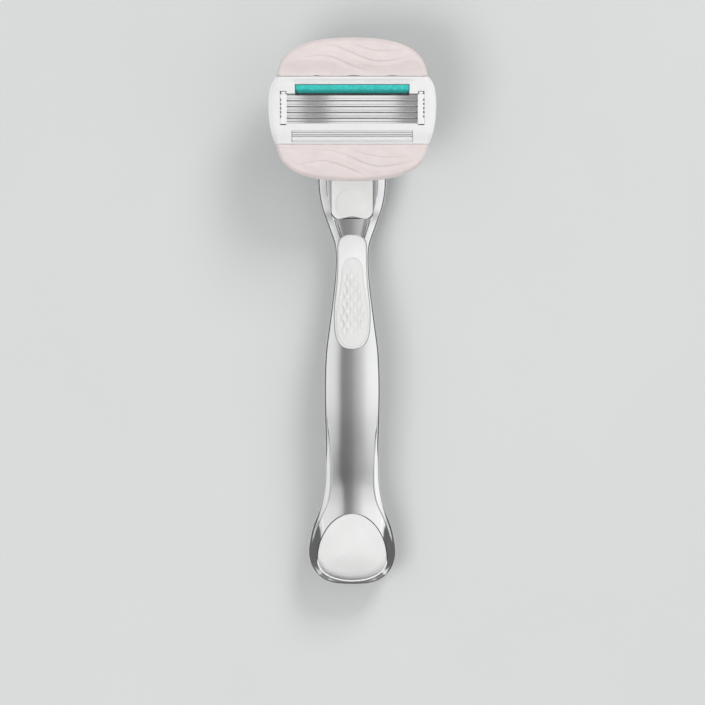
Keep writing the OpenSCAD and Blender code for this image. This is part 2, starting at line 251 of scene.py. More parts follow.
def edge_distances(points, outline):
    """Distance of each flat point to a closed outline of flat points."""
    points = np.asarray(points, float)
    nearest = np.full(len(points), 1e9)
    for a, b in zip(outline, outline[1:] + outline[:1]):
        a, b = np.asarray(a, float), np.asarray(b, float)
        along = b - a
        length = float(along @ along)
        if length < 1e-12:
            continue
        share = np.clip(((points - a) @ along) / length, 0, 1)
        gap = points - (a + share[:, None] * along)
        nearest = np.minimum(nearest, np.hypot(gap[:, 0], gap[:, 1]))
    return nearest


def mesh_object(name, bm):
    """Turns a mesh in millimetres into an object in metres."""
    bmesh.ops.recalc_face_normals(bm, faces=bm.faces)
    bmesh.ops.scale(bm, vec=(MM, MM, MM), verts=bm.verts)
    mesh = bpy.data.meshes.new(name)
    bm.to_mesh(mesh)
    bm.free()
    made = bpy.data.objects.new(name, mesh)
    bpy.context.scene.collection.objects.link(made)
    return made


def make_piece(name, bm, body, material, slot, replaces=(), bevel=0.0, sharp=40):
    """Turns a mesh in millimetres into a finished piece that rides on a body."""
    weld(bm)
    return finish_piece(mesh_object(name, bm), body, material, slot, replaces, bevel, sharp)


def finish_piece(piece, body, material, slot, replaces=(), bevel=0.0, sharp=40):
    if bevel:
        edge = piece.modifiers.new("Edges", "BEVEL")
        edge.width = bevel * MM
        edge.segments = 2
        edge.limit_method = "ANGLE"
        edge.angle_limit = math.radians(32)
        edge.use_clamp_overlap = True
    bake_modifiers(piece)
    for polygon in piece.data.polygons:
        polygon.use_smooth = True
    piece.data.set_sharp_from_angle(angle=math.radians(sharp))
    piece.data.materials.clear()
    piece.data.materials.append(material)
    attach(piece, body)
    if replaces:
        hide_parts(*replaces)
    return piece


def bake_modifiers(piece):
    """Makes the shape that the modifiers give the piece's own mesh."""
    if not piece.modifiers:
        return
    bpy.context.view_layer.update()
    graph = bpy.context.evaluated_depsgraph_get()
    mesh = bpy.data.meshes.new_from_object(piece.evaluated_get(graph))
    piece.modifiers.clear()
    piece.data = mesh


def softened_copy(node, name, body, material, slot, bevel):
    """A copy of a frame node with its edges rounded, which stands for it."""
    bm = bmesh.new()
    bm.from_mesh(frame["nodes"][node].data)
    bmesh.ops.scale(bm, vec=(1 / MM, 1 / MM, 1 / MM), verts=bm.verts)
    weld(bm, 1e-3)
    bmesh.ops.dissolve_limit(bm, angle_limit=math.radians(1), verts=bm.verts, edges=bm.edges)
    make_piece(name, bm, body, material, slot, [node], bevel)


# ---------------------------------------------------------------- materials

class Finish:
    """A new material with its main shader, and short ways to add and join nodes."""

    def __init__(self, name):
        self.material = bpy.data.materials.new(name)
        self.material.use_nodes = True
        self.nodes = self.material.node_tree.nodes
        self.links = self.material.node_tree.links
        self.shader = self.nodes["Principled BSDF"]
        place = self.nodes.new("ShaderNodeTexCoord")
        self.place = place.outputs["Object"]

    def set(self, **values):
        for name, value in values.items():
            self.shader.inputs[name.replace("_", " ")].default_value = value
        return self

    def add(self, kind, inputs=None, **settings):
        node = self.nodes.new(kind)
        for name, value in settings.items():
            setattr(node, name, value)
        for name, value in (inputs or {}).items():
            if isinstance(value, bpy.types.NodeSocket):
                self.links.new(value, node.inputs[name])
            else:
                node.inputs[name].default_value = value
        return node

    def scaled(self, x, y, z):
        """Object coordinates in millimetres, multiplied by x, y and z."""
        return self.add(
            "ShaderNodeMapping", {"Vector": self.place, "Scale": (x / MM, y / MM, z / MM)}
        ).outputs["Vector"]

    def noise(self, vector, scale, detail=3.0, roughness=0.5):
        return self.add(
            "ShaderNodeTexNoise", {"Vector": vector, "Scale": scale, "Detail": detail, "Roughness": roughness}
        ).outputs["Fac"]

    def ramp(self, value, stops):
        node = self.add("ShaderNodeValToRGB", {"Fac": value})
        node.color_ramp.elements[0].position, node.color_ramp.elements[0].color = stops[0]
        node.color_ramp.elements[1].position, node.color_ramp.elements[1].color = stops[-1]
        for position, colour in stops[1:-1]:
            node.color_ramp.elements.new(position).color = colour
        return node.outputs["Color"]

    def span(self, value, low, high, out_low, out_high):
        return self.add(
            "ShaderNodeMapRange",
            {"Value": value, "From Min": low, "From Max": high, "To Min": out_low, "To Max": out_high},
        ).outputs["Result"]

    def math(self, operation, a, b):
        node = self.nodes.new("ShaderNodeMath")
        node.operation = operation
        for socket, value in zip(node.inputs, (a, b)):
            if isinstance(value, bpy.types.NodeSocket):
                self.links.new(value, socket)
            else:
                socket.default_value = value
        return node.outputs["Value"]

    def colour(self, socket):
        self.links.new(socket, self.shader.inputs["Base Color"])
        return self

    def roughness(self, socket):
        self.links.new(socket, self.shader.inputs["Roughness"])
        return self

    def bump(self, height, strength, distance):
        node = self.add("ShaderNodeBump", {"Height": height, "Strength": strength, "Distance": distance * MM})
        self.links.new(node.outputs["Normal"], self.shader.inputs["Normal"])
        return self


def shade(colour, amount):
    """A colour made lighter or darker, with alpha 1."""
    return tuple(min(1.0, part * amount) for part in colour[:3]) + (1.0,)


def chrome_finish(colours):
    """Satin chrome plate: faint polishing lines along the handle and fine wear."""
    made = Finish("Satin chrome").set(Metallic=1.0)
    grain = made.noise(made.scaled(14, 0.5, 14), 1.0, 4.0, 0.6)
    cloud = made.noise(made.scaled(0.12, 0.12, 0.12), 1.0, 2.0)
    made.colour(made.ramp(cloud, [(0.3, shade(colours.chrome, 0.97)), (0.7, shade(colours.chrome, 1.03))]))
    mixed = made.math("ADD", made.math("MULTIPLY", grain, 0.5), cloud)
    made.roughness(made.span(mixed, 0.4, 1.1, 0.07, 0.13))
    return made.bump(grain, 0.05, 0.01).material


def gloss_plastic_finish(name, colour, rough=(0.2, 0.3), bump=0.04):
    """Moulded plastic with a faint ripple, slightly uneven gloss and cloudy colour."""
    made = Finish(name).set(Coat_Weight=0.25, Coat_Roughness=0.12, Subsurface_Weight=0.08,
                            Subsurface_Scale=0.001, Subsurface_Radius=(1.0, 0.9, 0.8))
    cloud = made.noise(made.scaled(0.15, 0.15, 0.15), 1.0, 3.0)
    fine = made.noise(made.scaled(6, 6, 6), 1.0, 3.0)
    made.colour(made.ramp(cloud, [(0.3, shade(colour, 0.975)), (0.7, shade(colour, 1.015))]))
    made.roughness(made.span(fine, 0.3, 0.7, *rough))
    return made.bump(fine, bump, 0.02).material


def soft_touch_finish(colour):
    """Matt elastomer with a fine leathery skin, with a little painted shade in its hollows."""
    made = Finish("Soft grip").set(Coat_Weight=0.35, Coat_Roughness=0.22)
    voronoi = made.add("ShaderNodeTexVoronoi", {"Vector": made.scaled(1, 1, 1), "Scale": 5.0})
    cells = voronoi.outputs["Distance"]
    fine = made.noise(made.scaled(9, 9, 9), 1.0, 2.0)
    skin = made.math("ADD", made.math("MULTIPLY", cells, 0.7), fine)
    # Painted shade: the colour is a little darker where the skin's bump is low, in its hollows
    made.colour(made.ramp(skin, [(0.35, shade(colour, 0.95)), (1.0, shade(colour, 1.02))]))
    made.roughness(made.span(fine, 0.3, 0.7, 0.5, 0.64))
    return made.bump(skin, 0.12, 0.03).material


def soap_finish(colour):
    """Pressed soap: waxy, faintly mottled, with fine pores."""
    made = Finish("Moisture bar").set(Coat_Weight=0.12, Coat_Roughness=0.35, Subsurface_Weight=0.25,
                                      Subsurface_Scale=0.0015, Subsurface_Radius=(1.0, 0.6, 0.5))
    cloud = made.noise(made.scaled(0.25, 0.5, 0.3), 1.0, 4.0, 0.6)
    pores = made.noise(made.scaled(4, 4, 4), 1.0, 4.0, 0.7)
    made.colour(made.ramp(cloud, [(0.3, shade(colour, 0.95)), (0.72, shade(colour, 1.03))]))
    made.roughness(made.span(pores, 0.3, 0.7, 0.36, 0.5))
    return made.bump(pores, 0.08, 0.03).material


def strip_finish(colour):
    """Lubricating strip: pressed grains in a teal binder, with painted shade darkening its sloping lower
    side.
    """
    made = Finish("Lubricating strip").set(Coat_Weight=0.03, Coat_Roughness=0.25, Specular_IOR_Level=0.14)
    patches = made.noise(made.scaled(1.1, 1.3, 1.3), 1.0, 5.0, 0.6)
    grains = made.noise(made.scaled(3, 3, 3), 1.0, 3.0)
    stops = [(at, shade(colour, amount)) for at, amount in ((0.3, 0.85), (0.52, 1.0), (0.72, 1.3))]
    mottle = made.ramp(patches, stops)
    # Painted shade: the colour darkens towards the strip's lower edge, where its sloping side faces away from
    # the light
    across = made.add("ShaderNodeSeparateXYZ", {"Vector": made.place}).outputs["Y"]
    depth = made.span(across, STRIP_LOW.y * MM, (STRIP_LOW.y + 1.3) * MM, 0.45, 1.08)
    deep = made.add("ShaderNodeVectorMath", {0: mottle, 1: depth}, operation="MULTIPLY").outputs["Vector"]
    made.colour(deep)
    made.roughness(made.span(grains, 0.3, 0.7, 0.32, 0.46))
    return made.bump(grains, 0.15, 0.04).material


def steel_finish(name, colour, rough, grain_way=(0.4, 20, 20), metallic=1.0):
    """Ground steel with grinding lines."""
    made = Finish(name).set(Metallic=metallic)
    lines = made.noise(made.scaled(*grain_way), 1.0, 4.0, 0.6)
    made.colour(made.ramp(lines, [(0.3, shade(colour, 0.93)), (0.7, shade(colour, 1.05))]))
    made.roughness(made.span(lines, 0.3, 0.7, *rough))
    return made.bump(lines, 0.06, 0.01).material


def floor_finish(colour):
    """Pale painted board with a barely seen mottle."""
    made = Finish("Pale floor").set(Roughness=0.7)
    cloud = made.noise(made.scaled(0.02, 0.02, 0.02), 1.0, 3.0)
    made.colour(made.ramp(cloud, [(0.3, shade(colour, 0.985)), (0.7, shade(colour, 1.0))]))
    return made.material


# ---------------------------------------------------------------- handle

# How far the pommel reaches below its widest station
POMMEL_LENGTH = 9.4
# Stations along the handle: y, half width, bottom, top, then the section's own numbers: share of the half
# width at the seam line, slopes of the flank outside it in degrees (first and last), radius of the outer
# corner, steepest slope of the front face, how wide its ridge is, and how deep the seam line is cut
HANDLE_STATIONS = [
    (-65.5, 12.05, 0.0, 12.75, 0.93, 40, 43, 0.6, 0.3, 2.1, 0.0),
    (-62.0, 11.55, 0.0, 12.7, 0.92, 38, 43, 0.6, 0.3, 2.1, 0.2),
    (-58.9, 10.75, 0.3, 12.62, 0.9, 32, 42, 0.6, 0.3, 2.0, 0.7),
    (-55.5, 9.35, 0.7, 12.58, 0.86, 29, 36, 0.6, 0.3, 1.95, 1.0),
    (-52.4, 8.35, 1.2, 12.62, 0.79, 28, 32, 0.6, 0.3, 1.95, 1.0),
    (-48.0, 7.6, 1.7, 12.85, 0.76, 27, 31, 0.6, 0.3, 2.2, 1.0),
    (-45.5, 7.4, 1.9, 13.07, 0.77, 27, 31, 0.6, 0.295, 2.7, 1.0),
    (-43.0, 7.35, 2.1, 13.34, 0.78, 27, 31, 0.6, 0.3, 3.1, 1.0),
    (-38.0, 7.32, 2.5, 13.86, 0.83, 26, 30, 0.6, 0.32, 3.4, 1.0),
    (-33.0, 7.45, 2.7, 14.3, 0.88, 23, 28, 0.6, 0.33, 3.4, 0.6),
    (-28.0, 7.6, 2.9, 14.62, 0.9, 20, 26, 0.6, 0.34, 3.6, 0.0),
    (-22.0, 7.7, 3.0, 14.8, 0.9, 19, 26, 0.6, 0.34, 3.6, 0.0),
    (-16.0, 7.6, 2.9, 14.8, 0.9, 19, 26, 0.6, 0.34, 3.6, 0.0),
    (-10.7, 7.3, 2.7, 14.4, 0.9, 19, 26, 0.6, 0.34, 3.4, 0.0),
    (-4.5, 6.5, 2.4, 13.6, 0.9, 19, 26, 0.6, 0.34, 3.1, 0.0),
    (2.0, 5.65, 2.0, 12.6, 0.89, 20, 27, 0.6, 0.34, 2.8, 0.0),
    (8.0, 4.95, 1.5, 11.4, 0.88, 20, 27, 0.6, 0.34, 2.6, 0.0),
    (12.5, 4.65, 1.0, 10.6, 0.88, 20, 27, 0.6, 0.34, 2.5, 0.0),
    (16.0, 4.65, 0.6, 10.0, 0.88, 20, 27, 0.6, 0.34, 2.6, 0.0),
    (18.5, 5.0, 0.25, 9.5, 0.88, 20, 27, 0.6, 0.34, 2.9, 0.0),
    (21.5, 6.1, 0.0, 9.0, 0.89, 19, 26, 0.6, 0.34, 3.6, 0.0),
    (24.3, 7.1, -0.1, 8.9, 0.9, 18, 26, 0.6, 0.34, 4.2, 0.0),
    (27.5, 8.25, 0.2, 9.2, 0.91, 18, 26, 0.6, 0.34, 4.8, 0.0),
    (30.9, 9.05, 0.9, 9.9, 0.92, 18, 26, 0.6, 0.34, 5.2, 0.0),
    (34.0, 9.4, 2.0, 10.8, 0.92, 18, 26, 0.6, 0.34, 5.4, 0.0),
    (37.0, 9.45, 3.2, 11.6, 0.92, 18, 26, 0.6, 0.34, 5.4, 0.0),
    (43.6, 9.45, 5.4, 13.2, 0.92, 18, 26, 0.6, 0.34, 5.4, 0.0),
]
# Near the seam line the pommel's front face rolls over: y, slope added at the seam, width of the roll
ROLL_STATIONS = [
    (-65.5, 0.62, 4.0), (-62.0, 0.62, 3.6), (-60.0, 0.5, 3.2), (-57.5, 0.3, 2.0), (-54.5, 0.0, 1.0),
]
POMMEL_Y = HANDLE_STATIONS[0][0]
POMMEL_HALF = HANDLE_STATIONS[0][1]
FRONT_STEPS, FLANK_STEPS, CORNER_STEPS, BACK_STEPS = 14, 4, 5, 9
# The pommel's outline is a little fuller than a half ellipse
POMMEL_FULLNESS = 0.67
# A narrow chamfer runs round the outer corner
CHAMFER_WIDTH, CHAMFER_SLOPE = 0.32, 40
# Half the width of the seam line
SEAM_HALF = 0.14
# The cutters reach up to here, clear of the whole handle
CUTTER_TOP = 22


def front_fall(x, y, front, steep, ridge):
    """How far the front face lies below its ridge at x."""
    roll, wide = table_row(ROLL_STATIONS, y)
    share = min(max((x - front + wide) / wide, 0.0), 1.0)
    return steep * (math.sqrt(x * x + ridge * ridge) - ridge) + roll * wide * (share**2 - share**3 / 3)


def half_section(y):
    """The right half of the handle's section at y, from mid front round to mid back."""
    row = table_row(HANDLE_STATIONS, y)
    half, bottom, top, seam_at, flank_1, flank_2, corner, steep, ridge, seam = row
    front = seam_at * half
    last = math.radians(max(flank_2, CHAMFER_SLOPE) + 2)
    chamfer = CHAMFER_WIDTH * (1 - 0.8 * smooth((-36 - y) / 6) * smooth((y + 63) / 4))
    corner_x = half - corner * (1 - math.sin(last)) - chamfer
    points = []

    def front_z(x):
        return top - front_fall(x, y, front, steep, ridge)

    for i in range(FRONT_STEPS):
        x = (front - SEAM_HALF) * (1 - (1 - i / (FRONT_STEPS - 1)) ** 1.4)
        points.append((x, front_z(x)))
    points.append((front, front_z(front) - 0.24 * max(seam, 0.0)))
    x, z = front + SEAM_HALF, front_z(front) - SEAM_HALF * math.tan(math.radians(flank_1))
    points.append((x, z))
    for i in range(1, FLANK_STEPS + 1):
        outward = i / FLANK_STEPS - 0.5 / FLANK_STEPS
        slope = math.tan(math.radians(mix(flank_1, flank_2, outward)))
        step = (corner_x - front - SEAM_HALF) / FLANK_STEPS
        x, z = x + step, z - step * slope
        points.append((x, z))
    points.append((x + chamfer, z - chamfer * math.tan(math.radians(max(flank_2, CHAMFER_SLOPE)))))
    corner_z = points[-1][1] - corner * math.cos(last)
    for i in range(1, CORNER_STEPS + 1):
        angle = mix(last, math.pi / 2, i / CORNER_STEPS)
        points.append((half - corner + corner * math.sin(angle), corner_z + corner * math.cos(angle)))
    for i in range(1, BACK_STEPS + 1):
        angle = math.pi / 2 * i / BACK_STEPS
        x = half * max(0.0, math.cos(angle)) ** 0.72
        z = corner_z - 0.1 - (corner_z - 0.1 - bottom) * math.sin(angle) ** 0.8
        points.append((max(x, 0.0) if i < BACK_STEPS else 0.0, z))
    return points


def end_drop(angle):
    """How far the front falls at the pommel's end, as a share of its fall at the sides."""
    return mix(1.0, 0.62, math.sin(angle))


def front_height(x, y):
    """Height of the handle's front face."""
    x = abs(x)
    angle = 0.0
    if y < POMMEL_Y:
        reach = (POMMEL_Y - y) / POMMEL_LENGTH
        low, high = reach, max(2.0, 2 * x / POMMEL_HALF)
        for _ in range(22):
            size = (low + high) / 2
            outside = (x / POMMEL_HALF / size) ** (2 / POMMEL_FULLNESS) + (reach / size) ** 2 > 1
            low, high = (size, high) if outside else (low, size)
        angle = math.asin(min(1.0, reach / high))
        x = high * POMMEL_HALF
        y = POMMEL_Y
    half, _, top, seam_at, flank_1, flank_2, _, steep, ridge, _ = table_row(HANDLE_STATIONS, y)
    front = seam_at * half
    fall = front_fall(min(x, front), y, front, steep, ridge)
    if x > front:
        outward = min((x - front) / max(half - front, 1e-6), 1.0)
        fall += (x - front) * math.tan(math.radians(mix(flank_1, flank_2, outward / 2)))
    return top - fall * end_drop(angle)


def loft_handle():
    """The handle's outer skin, closed at both ends."""
    straight = 74
    turns = 14
    end_y = HANDLE_STATIONS[-1][0]
    sections = [half_section(mix(POMMEL_Y, end_y, i / straight)) for i in range(straight + 1)]
    count = len(sections[0]) - 1
    top_z = sections[0][0][1]
    rim_z = sections[0][count - BACK_STEPS][1]
    bm = bmesh.new()

    def place(u, v):
        index = round(u * 2 * count)
        side = 1 if index <= count else -1
        index = min(index, 2 * count - index)
        row = round(v * (straight + turns)) - turns
        x, z = sections[max(row, 0)][index]
        y = mix(POMMEL_Y, end_y, max(row, 0) / straight)
        if row < 0:
            angle = math.pi / 2 * -row / turns
            y -= x / POMMEL_HALF * POMMEL_LENGTH * math.sin(angle)
            x *= math.cos(angle) ** POMMEL_FULLNESS if row > -turns else 0.0
            raised = top_z - (top_z - rim_z) * end_drop(angle)
            z = top_z - (top_z - z) * end_drop(angle) if z > rim_z else z * raised / rim_z
        return Vector((side * x, y, z))

    placed_grid(bm, 2 * count, straight + turns, place)
    weld(bm)
    close_holes(bm)
    return bm


def cut_away(piece, cutters):
    """Takes the cutters out of the piece and then removes them."""
    for cutter in cutters:
        cut = piece.modifiers.new("Cut", "BOOLEAN")
        cut.operation = "DIFFERENCE"
        cut.solver = "MANIFOLD"
        cut.object = cutter
    bake_modifiers(piece)
    for cutter in cutters:
        bpy.data.objects.remove(cutter, do_unlink=True)


def fork_slot_cutter():
    """The slot between the fork arms, with rounded inner corners."""
    bm = bmesh.new()
    rear = box_mm("docking_frame")[0].y - 0.1
    half = FORK_HALF - 0.02
    corner = 1.6
    side = [(half, 60), (half, rear + corner)]
    side += [(half - corner + corner * math.cos(a), rear + corner - corner * math.sin(a))
             for a in (math.pi / 8, math.pi / 4, 3 * math.pi / 8)]
    side += [(half - corner, rear)]
    outline = side + [(-x, y) for x, y in reversed(side)]
    outline_face(bm, [(x, y, -5) for x, y in outline])
    made = bmesh.ops.extrude_face_region(bm, geom=bm.faces[:])["geom"]
    bmesh.ops.translate(bm, vec=(0, 0, 30), verts=of_kind(made, BMVert))
    return mesh_object("slot cutter", bm)


# Outline of the recess round the button: y, half width at the rim, depth
RECESS_STATIONS = [
    (14.5, 2.4, 0.0), (17.5, 2.9, 0.5), (20.7, 3.8, 1.2), (24.0, 4.95, 1.6), (27.6, 6.0, 1.75),
    (30.5, 6.65, 1.7), (33.0, 6.9, 1.7), (37.0, 6.95, 1.7), (48.0, 6.95, 1.7),
]


def fork_recess_cutter():
    """The dished recess between the fork arms: sloping walls and a hollow floor."""
    bm = bmesh.new()
    start = RECESS_STATIONS[0][0]
    rows = 58
    # Across the recess: place as a share of the rim's half width, and share of the depth
    right = [(0.0, 1.0), (0.3, 1.0), (0.55, 1.0), (0.7, 0.99), (0.74, 0.93), (0.85, 0.5), (0.96, 0.07),
             (1.0, 0.0), (1.12, -0.4)]
    profile = [(-a, b) for a, b in reversed(right[1:])] + right

    def place(u, v):
        y = start + 34 * v
        rim, depth = table_row(RECESS_STATIONS, y)
        outward, deep = profile[round(u * (len(profile) - 1))]
        x = outward * rim
        clear = 0.02 if deep <= 0 else 0.0
        return Vector((x, y, front_height(x, y) - deep * max(depth, 0.0) + clear))

    placed_grid(bm, len(profile) - 1, rows, place)
    raise_to(bm, CUTTER_TOP)
    return mesh_object("recess cutter", bm)


def pocket_cutter(name, half_at, gap, depth=0.5):
    """A shallow pocket that leaves a fine seam all round an insert."""
    low, high = half_at.ends

    def wider(y):
        return half_at(mix(low, high, (y - low + gap) / (high - low + 2 * gap))) + gap

    bm = patch(wider, low - gap, high + gap, 30, 70, lambda x, y, away: front_height(x, y) - depth)
    raise_to(bm, CUTTER_TOP)
    return mesh_object(name, bm)


# ---------------------------------------------------------------- patches on the handle

def patch(half_at, y_low, y_high, across, along, height):
    """A sheet between two flat curves x = half_at(y) and x = -half_at(y), lifted by height(x, y)."""
    bm = bmesh.new()

    def place(u, v):
        y = mix(y_low, y_high, (1 - math.cos(math.pi * v)) / 2)
        x = math.sin((u - 0.5) * math.pi) * half_at(y)
        return Vector((x, y, 0.0))

    placed_grid(bm, across, along, place)
    weld(bm, 2e-3)
    lift(bm, half_at, y_low, y_high, height)
    return bm


def lift(bm, half_at, y_low, y_high, height):
    """Sets each corner's height from height(x, y, distance to the rim)."""
    ys = [mix(y_low, y_high, (1 - math.cos(math.pi * i / 60)) / 2) for i in range(61)]
    rim = [(half_at(y), y) for y in ys] + [(-half_at(y), y) for y in reversed(ys)]
    corners = list(bm.verts)
    gaps = edge_distances([(v.co.x, v.co.y) for v in corners], rim)
    for vertex, gap in zip(corners, gaps):
        vertex.co.z = height(vertex.co.x, vertex.co.y, float(gap))


def half_from_curves(curves):
    """A function that gives the half width at y of an outline made of curves of (x, y) control points."""
    points = []
    for curve in curves:
        points += [bezier(*curve, i / 24) for i in range(25)]
    points.sort(key=lambda p: p[1])

    def half_at(y):
        if y <= points[0][1]:
            return points[0][0]
        for (x0, y0), (x1, y1) in zip(points, points[1:]):
            if y0 <= y <= y1:
                return mix(x0, x1, (y - y0) / (y1 - y0)) if y1 > y0 else max(x0, x1)
        return points[-1][0]

    half_at.ends = (points[0][1], points[-1][1])
    return half_at


def rounded(gap, radius):
    """How far below the crown a surface lies near its rim, for an edge of that radius."""
    if gap >= radius:
        return 0.0
    return radius - math.sqrt(max(0.0, radius**2 - (radius - gap) ** 2))


GRIP_LOW, GRIP_HIGH = box_mm("grip_bezel")
GRIP_HALF = (GRIP_HIGH.x - GRIP_LOW.x) / 2
PAD_LOW, PAD_HIGH = box_mm("grip_pad")
CAP_HIGH = box_mm("pommel_cap")[1]
CAP_HALF = 9.5


def grip_outline():
    top, end, half = GRIP_HIGH.y, GRIP_LOW.y, GRIP_HALF
    return half_from_curves([
        ((0, top), (2.6, top), (4.0, top - 1.0), (3.95, top - 4)),
        ((3.95, top - 4), (3.9, 12), (4.0, 10), (4.2, 7)),
        ((4.2, 7), (4.5, 4), (half, 2), (half, -1.5)),
        ((half, -1.5), (half, end + 3.4), (half - 0.6, end), (0, end)),
    ])


def pad_outline():
    top, end, half = PAD_HIGH.y, PAD_LOW.y, GRIP_HALF - 0.4
    return half_from_curves([
        ((0, top), (1.8, top), (2.9, top - 1.2), (3.0, top - 4)),
        ((3.0, top - 4), (3.1, 7), (3.5, 6), (3.8, 4)),
        ((3.8, 4), (4.2, 1.5), (half, 0), (half, -2.5)),
        ((half, -2.5), (half, end + 3.2), (half - 0.8, end + 0.05), (0, end + 0.05)),
    ])


def cap_outline():
    top, end = CAP_HIGH.y + 0.1, HANDLE_LOW.y + 0.65
    wide = top - 12.2
    return half_from_curves([
        ((0, top), (4.6, top), (CAP_HALF - 0.2, top - 5.0), (CAP_HALF, wide)),
        ((CAP_HALF, wide), (CAP_HALF, end + 2.3), (5.6, end), (0, end)),
    ])


def facets(x, y):
    """Long diamond dimples in staggered rows, from 0 on the ridges between them to 1 in their hollows."""
    a = x / 1.8 + y / 3.7
    b = x / 1.8 - y / 3.7
    inside = 1 - 2 * max(abs(a - math.floor(a) - 0.5), abs(b - math.floor(b) - 0.5))
    return 1 - (1 - inside) ** 2


# ---------------------------------------------------------------- operators: handle side

def shown_sizes():
    return bpy.context.scene.razor_sizes


def shown_colours():
    return bpy.context.scene.razor_colours


class RAZOR_OT_handle(bpy.types.Operator):
    """Chromed handle with its fork, slot and recess"""

    bl_idname = "razor.handle"
    bl_label = "Handle"

    def execute(self, context):
        piece = mesh_object("handle_shell", loft_handle())
        surface = piece.modifiers.new("Surface", "SUBSURF")
        surface.levels = surface.render_levels = 1
        bake_modifiers(piece)
        cut_away(piece, [
            fork_slot_cutter(),
            fork_recess_cutter(),
            pocket_cutter("grip pocket", grip_outline(), 0.1),
            pocket_cutter("cap pocket", cap_outline(), 0.17, 2.4),
        ])
        finish_piece(piece, "handle", chrome_finish(shown_colours()), "chrome", ["handle_body"], sharp=28)
        return {"FINISHED"}


class RAZOR_OT_grip(bpy.types.Operator):
    """White grip insert and its soft pad with diamond dimples"""

    bl_idname = "razor.grip"
    bl_label = "Grip"

    def execute(self, context):
        colours = shown_colours()
        sizes = shown_sizes()
        half_at = grip_outline()
        pad_half = pad_outline()
        ys = [mix(PAD_LOW.y, PAD_HIGH.y, (1 - math.cos(math.pi * i / 50)) / 2) for i in range(51)]
        pad_rim = [(pad_half(y), y) for y in ys] + [(-pad_half(y), y) for y in reversed(ys)]
        bm = patch(half_at, GRIP_LOW.y, GRIP_HIGH.y, 64, 190,
                   lambda x, y, gap: front_height(x, y) + 0.42 - rounded(gap, 0.5))
        corners = list(bm.verts)
        away = edge_distances([(v.co.x, v.co.y) for v in corners], pad_rim)
        for vertex, gap in zip(corners, away):
            inside = PAD_LOW.y < vertex.co.y < PAD_HIGH.y and abs(vertex.co.x) < pad_half(vertex.co.y)
            vertex.co.z -= 0.5 * smooth(float(gap) / 0.22) if inside else 0.0
        roll_edge(bm, [(0.0, 0.25), (0.0, 1.4)])
        make_piece("grip_insert", bm, "handle", gloss_plastic_finish("Grip gloss", colours.white),
                   "grip_gloss", ["grip_bezel"], sharp=60)

        def pad_height(x, y, gap):
            near_ends = smooth((y - PAD_LOW.y - 1.5) / 5), smooth((PAD_HIGH.y - 1.0 - y) / 6)
            fade = smooth((gap - 0.4) / 1.3) * near_ends[0] * near_ends[1]
            swell = mix(0.5, 0.22, smooth((y - PAD_HIGH.y + 5) / 4)) + 0.3 * smooth(gap / 3)
            dimple = sizes.facet_depth / MM * fade * facets(x, y)
            return front_height(x, y) + swell - rounded(gap, 0.4) - dimple

        bm = patch(pad_half, PAD_LOW.y, PAD_HIGH.y, 76, 200, pad_height)
        roll_edge(bm, [(0.0, 0.2), (0.0, 0.6)])
        make_piece("grip_pad_surface", bm, "handle", soft_touch_finish(colours.pad), "grip_soft",
                   ["grip_pad"], sharp=75)
        return {"FINISHED"}


class RAZOR_OT_pommel_cap(bpy.types.Operator):
    """Egg-shaped cap on the pommel, with its fine seam"""

    bl_idname = "razor.pommel_cap"
    bl_label = "Pommel cap"

    def execute(self, context):
        half_at = cap_outline()
        low, high = half_at.ends

        def height(x, y, gap):
            bowl = 0.7 * (1 - smooth(gap / 7)) * smooth((-56 - y) / 12) + 0.008 * max(0.0, -59 - y) ** 2
            return front_height(x * 0.8, y) + 0.12 - 0.006 * x * x - rounded(gap, 0.3) - bowl

        bm = patch(half_at, low, high, 70, 90, height)
        roll_edge(bm, [(0.0, 0.3), (0.0, 1.6)])
        colours = shown_colours()
        finish = gloss_plastic_finish("Pommel cap", colours.cap, (0.32, 0.42))
        make_piece("pommel_cap_shell", bm, "handle", finish, "cap_plastic", ["pommel_cap"], sharp=60)
        widest = CAP_HALF + 0.02
        curve = ((widest, high - 12.2), (widest, low + 2.3), (5.6, low), (0, low))
        rim = [bezier(*curve, i / 30) for i in range(31)]
        rim += [(-x, y) for x, y in reversed(rim[:-1])]
        bm = bmesh.new()

        def place(u, v):
            i = round(v * (len(rim) - 1))
            x, y = rim[i]
            before, after = rim[max(i - 1, 0)], rim[min(i + 1, len(rim) - 1)]
            out = Vector((before[1] - after[1], after[0] - before[0])).normalized()
            taper = smooth(min(v, 1 - v) / 0.07)
            around = 2 * math.pi * u
            wide, tall = 0.2 * taper, 0.3 * taper
            off = wide * math.cos(around)
            z = front_height(x * 0.9, y) + 0.02 + tall * math.sin(around)
            return Vector((x + out.x * off, y + out.y * off, z))

        placed_grid(bm, 10, len(rim) - 1, place)
        # The rim ring is lighter than the cap: partly its own white, partly a painted highlight along the
        # cap's lower edge
        finish = gloss_plastic_finish("Cap rim with painted highlight", colours.rim, (0.2, 0.3))
        make_piece("pommel_cap_rim", bm, "handle", finish, "cap_plastic", sharp=60)
        return {"FINISHED"}


BUTTON_LOW, BUTTON_HIGH = box_mm("release_button")
BUTTON_HALF = (BUTTON_HIGH.x - BUTTON_LOW.x) / 2
LOBE_X = 3.63


def button_end(x):
    """y of the button's lower edge: two round lobes and a shallow arch between them."""
    x = abs(x)
    if x < LOBE_X:
        return BUTTON_LOW.y + 0.05 + 0.34 * (1 + math.cos(math.pi * x / LOBE_X))
    share = min((x - LOBE_X) / (BUTTON_HALF - LOBE_X), 1.0)
    return BUTTON_LOW.y + 0.05 + 2.5 * (1 - math.sqrt(1 - share * share))


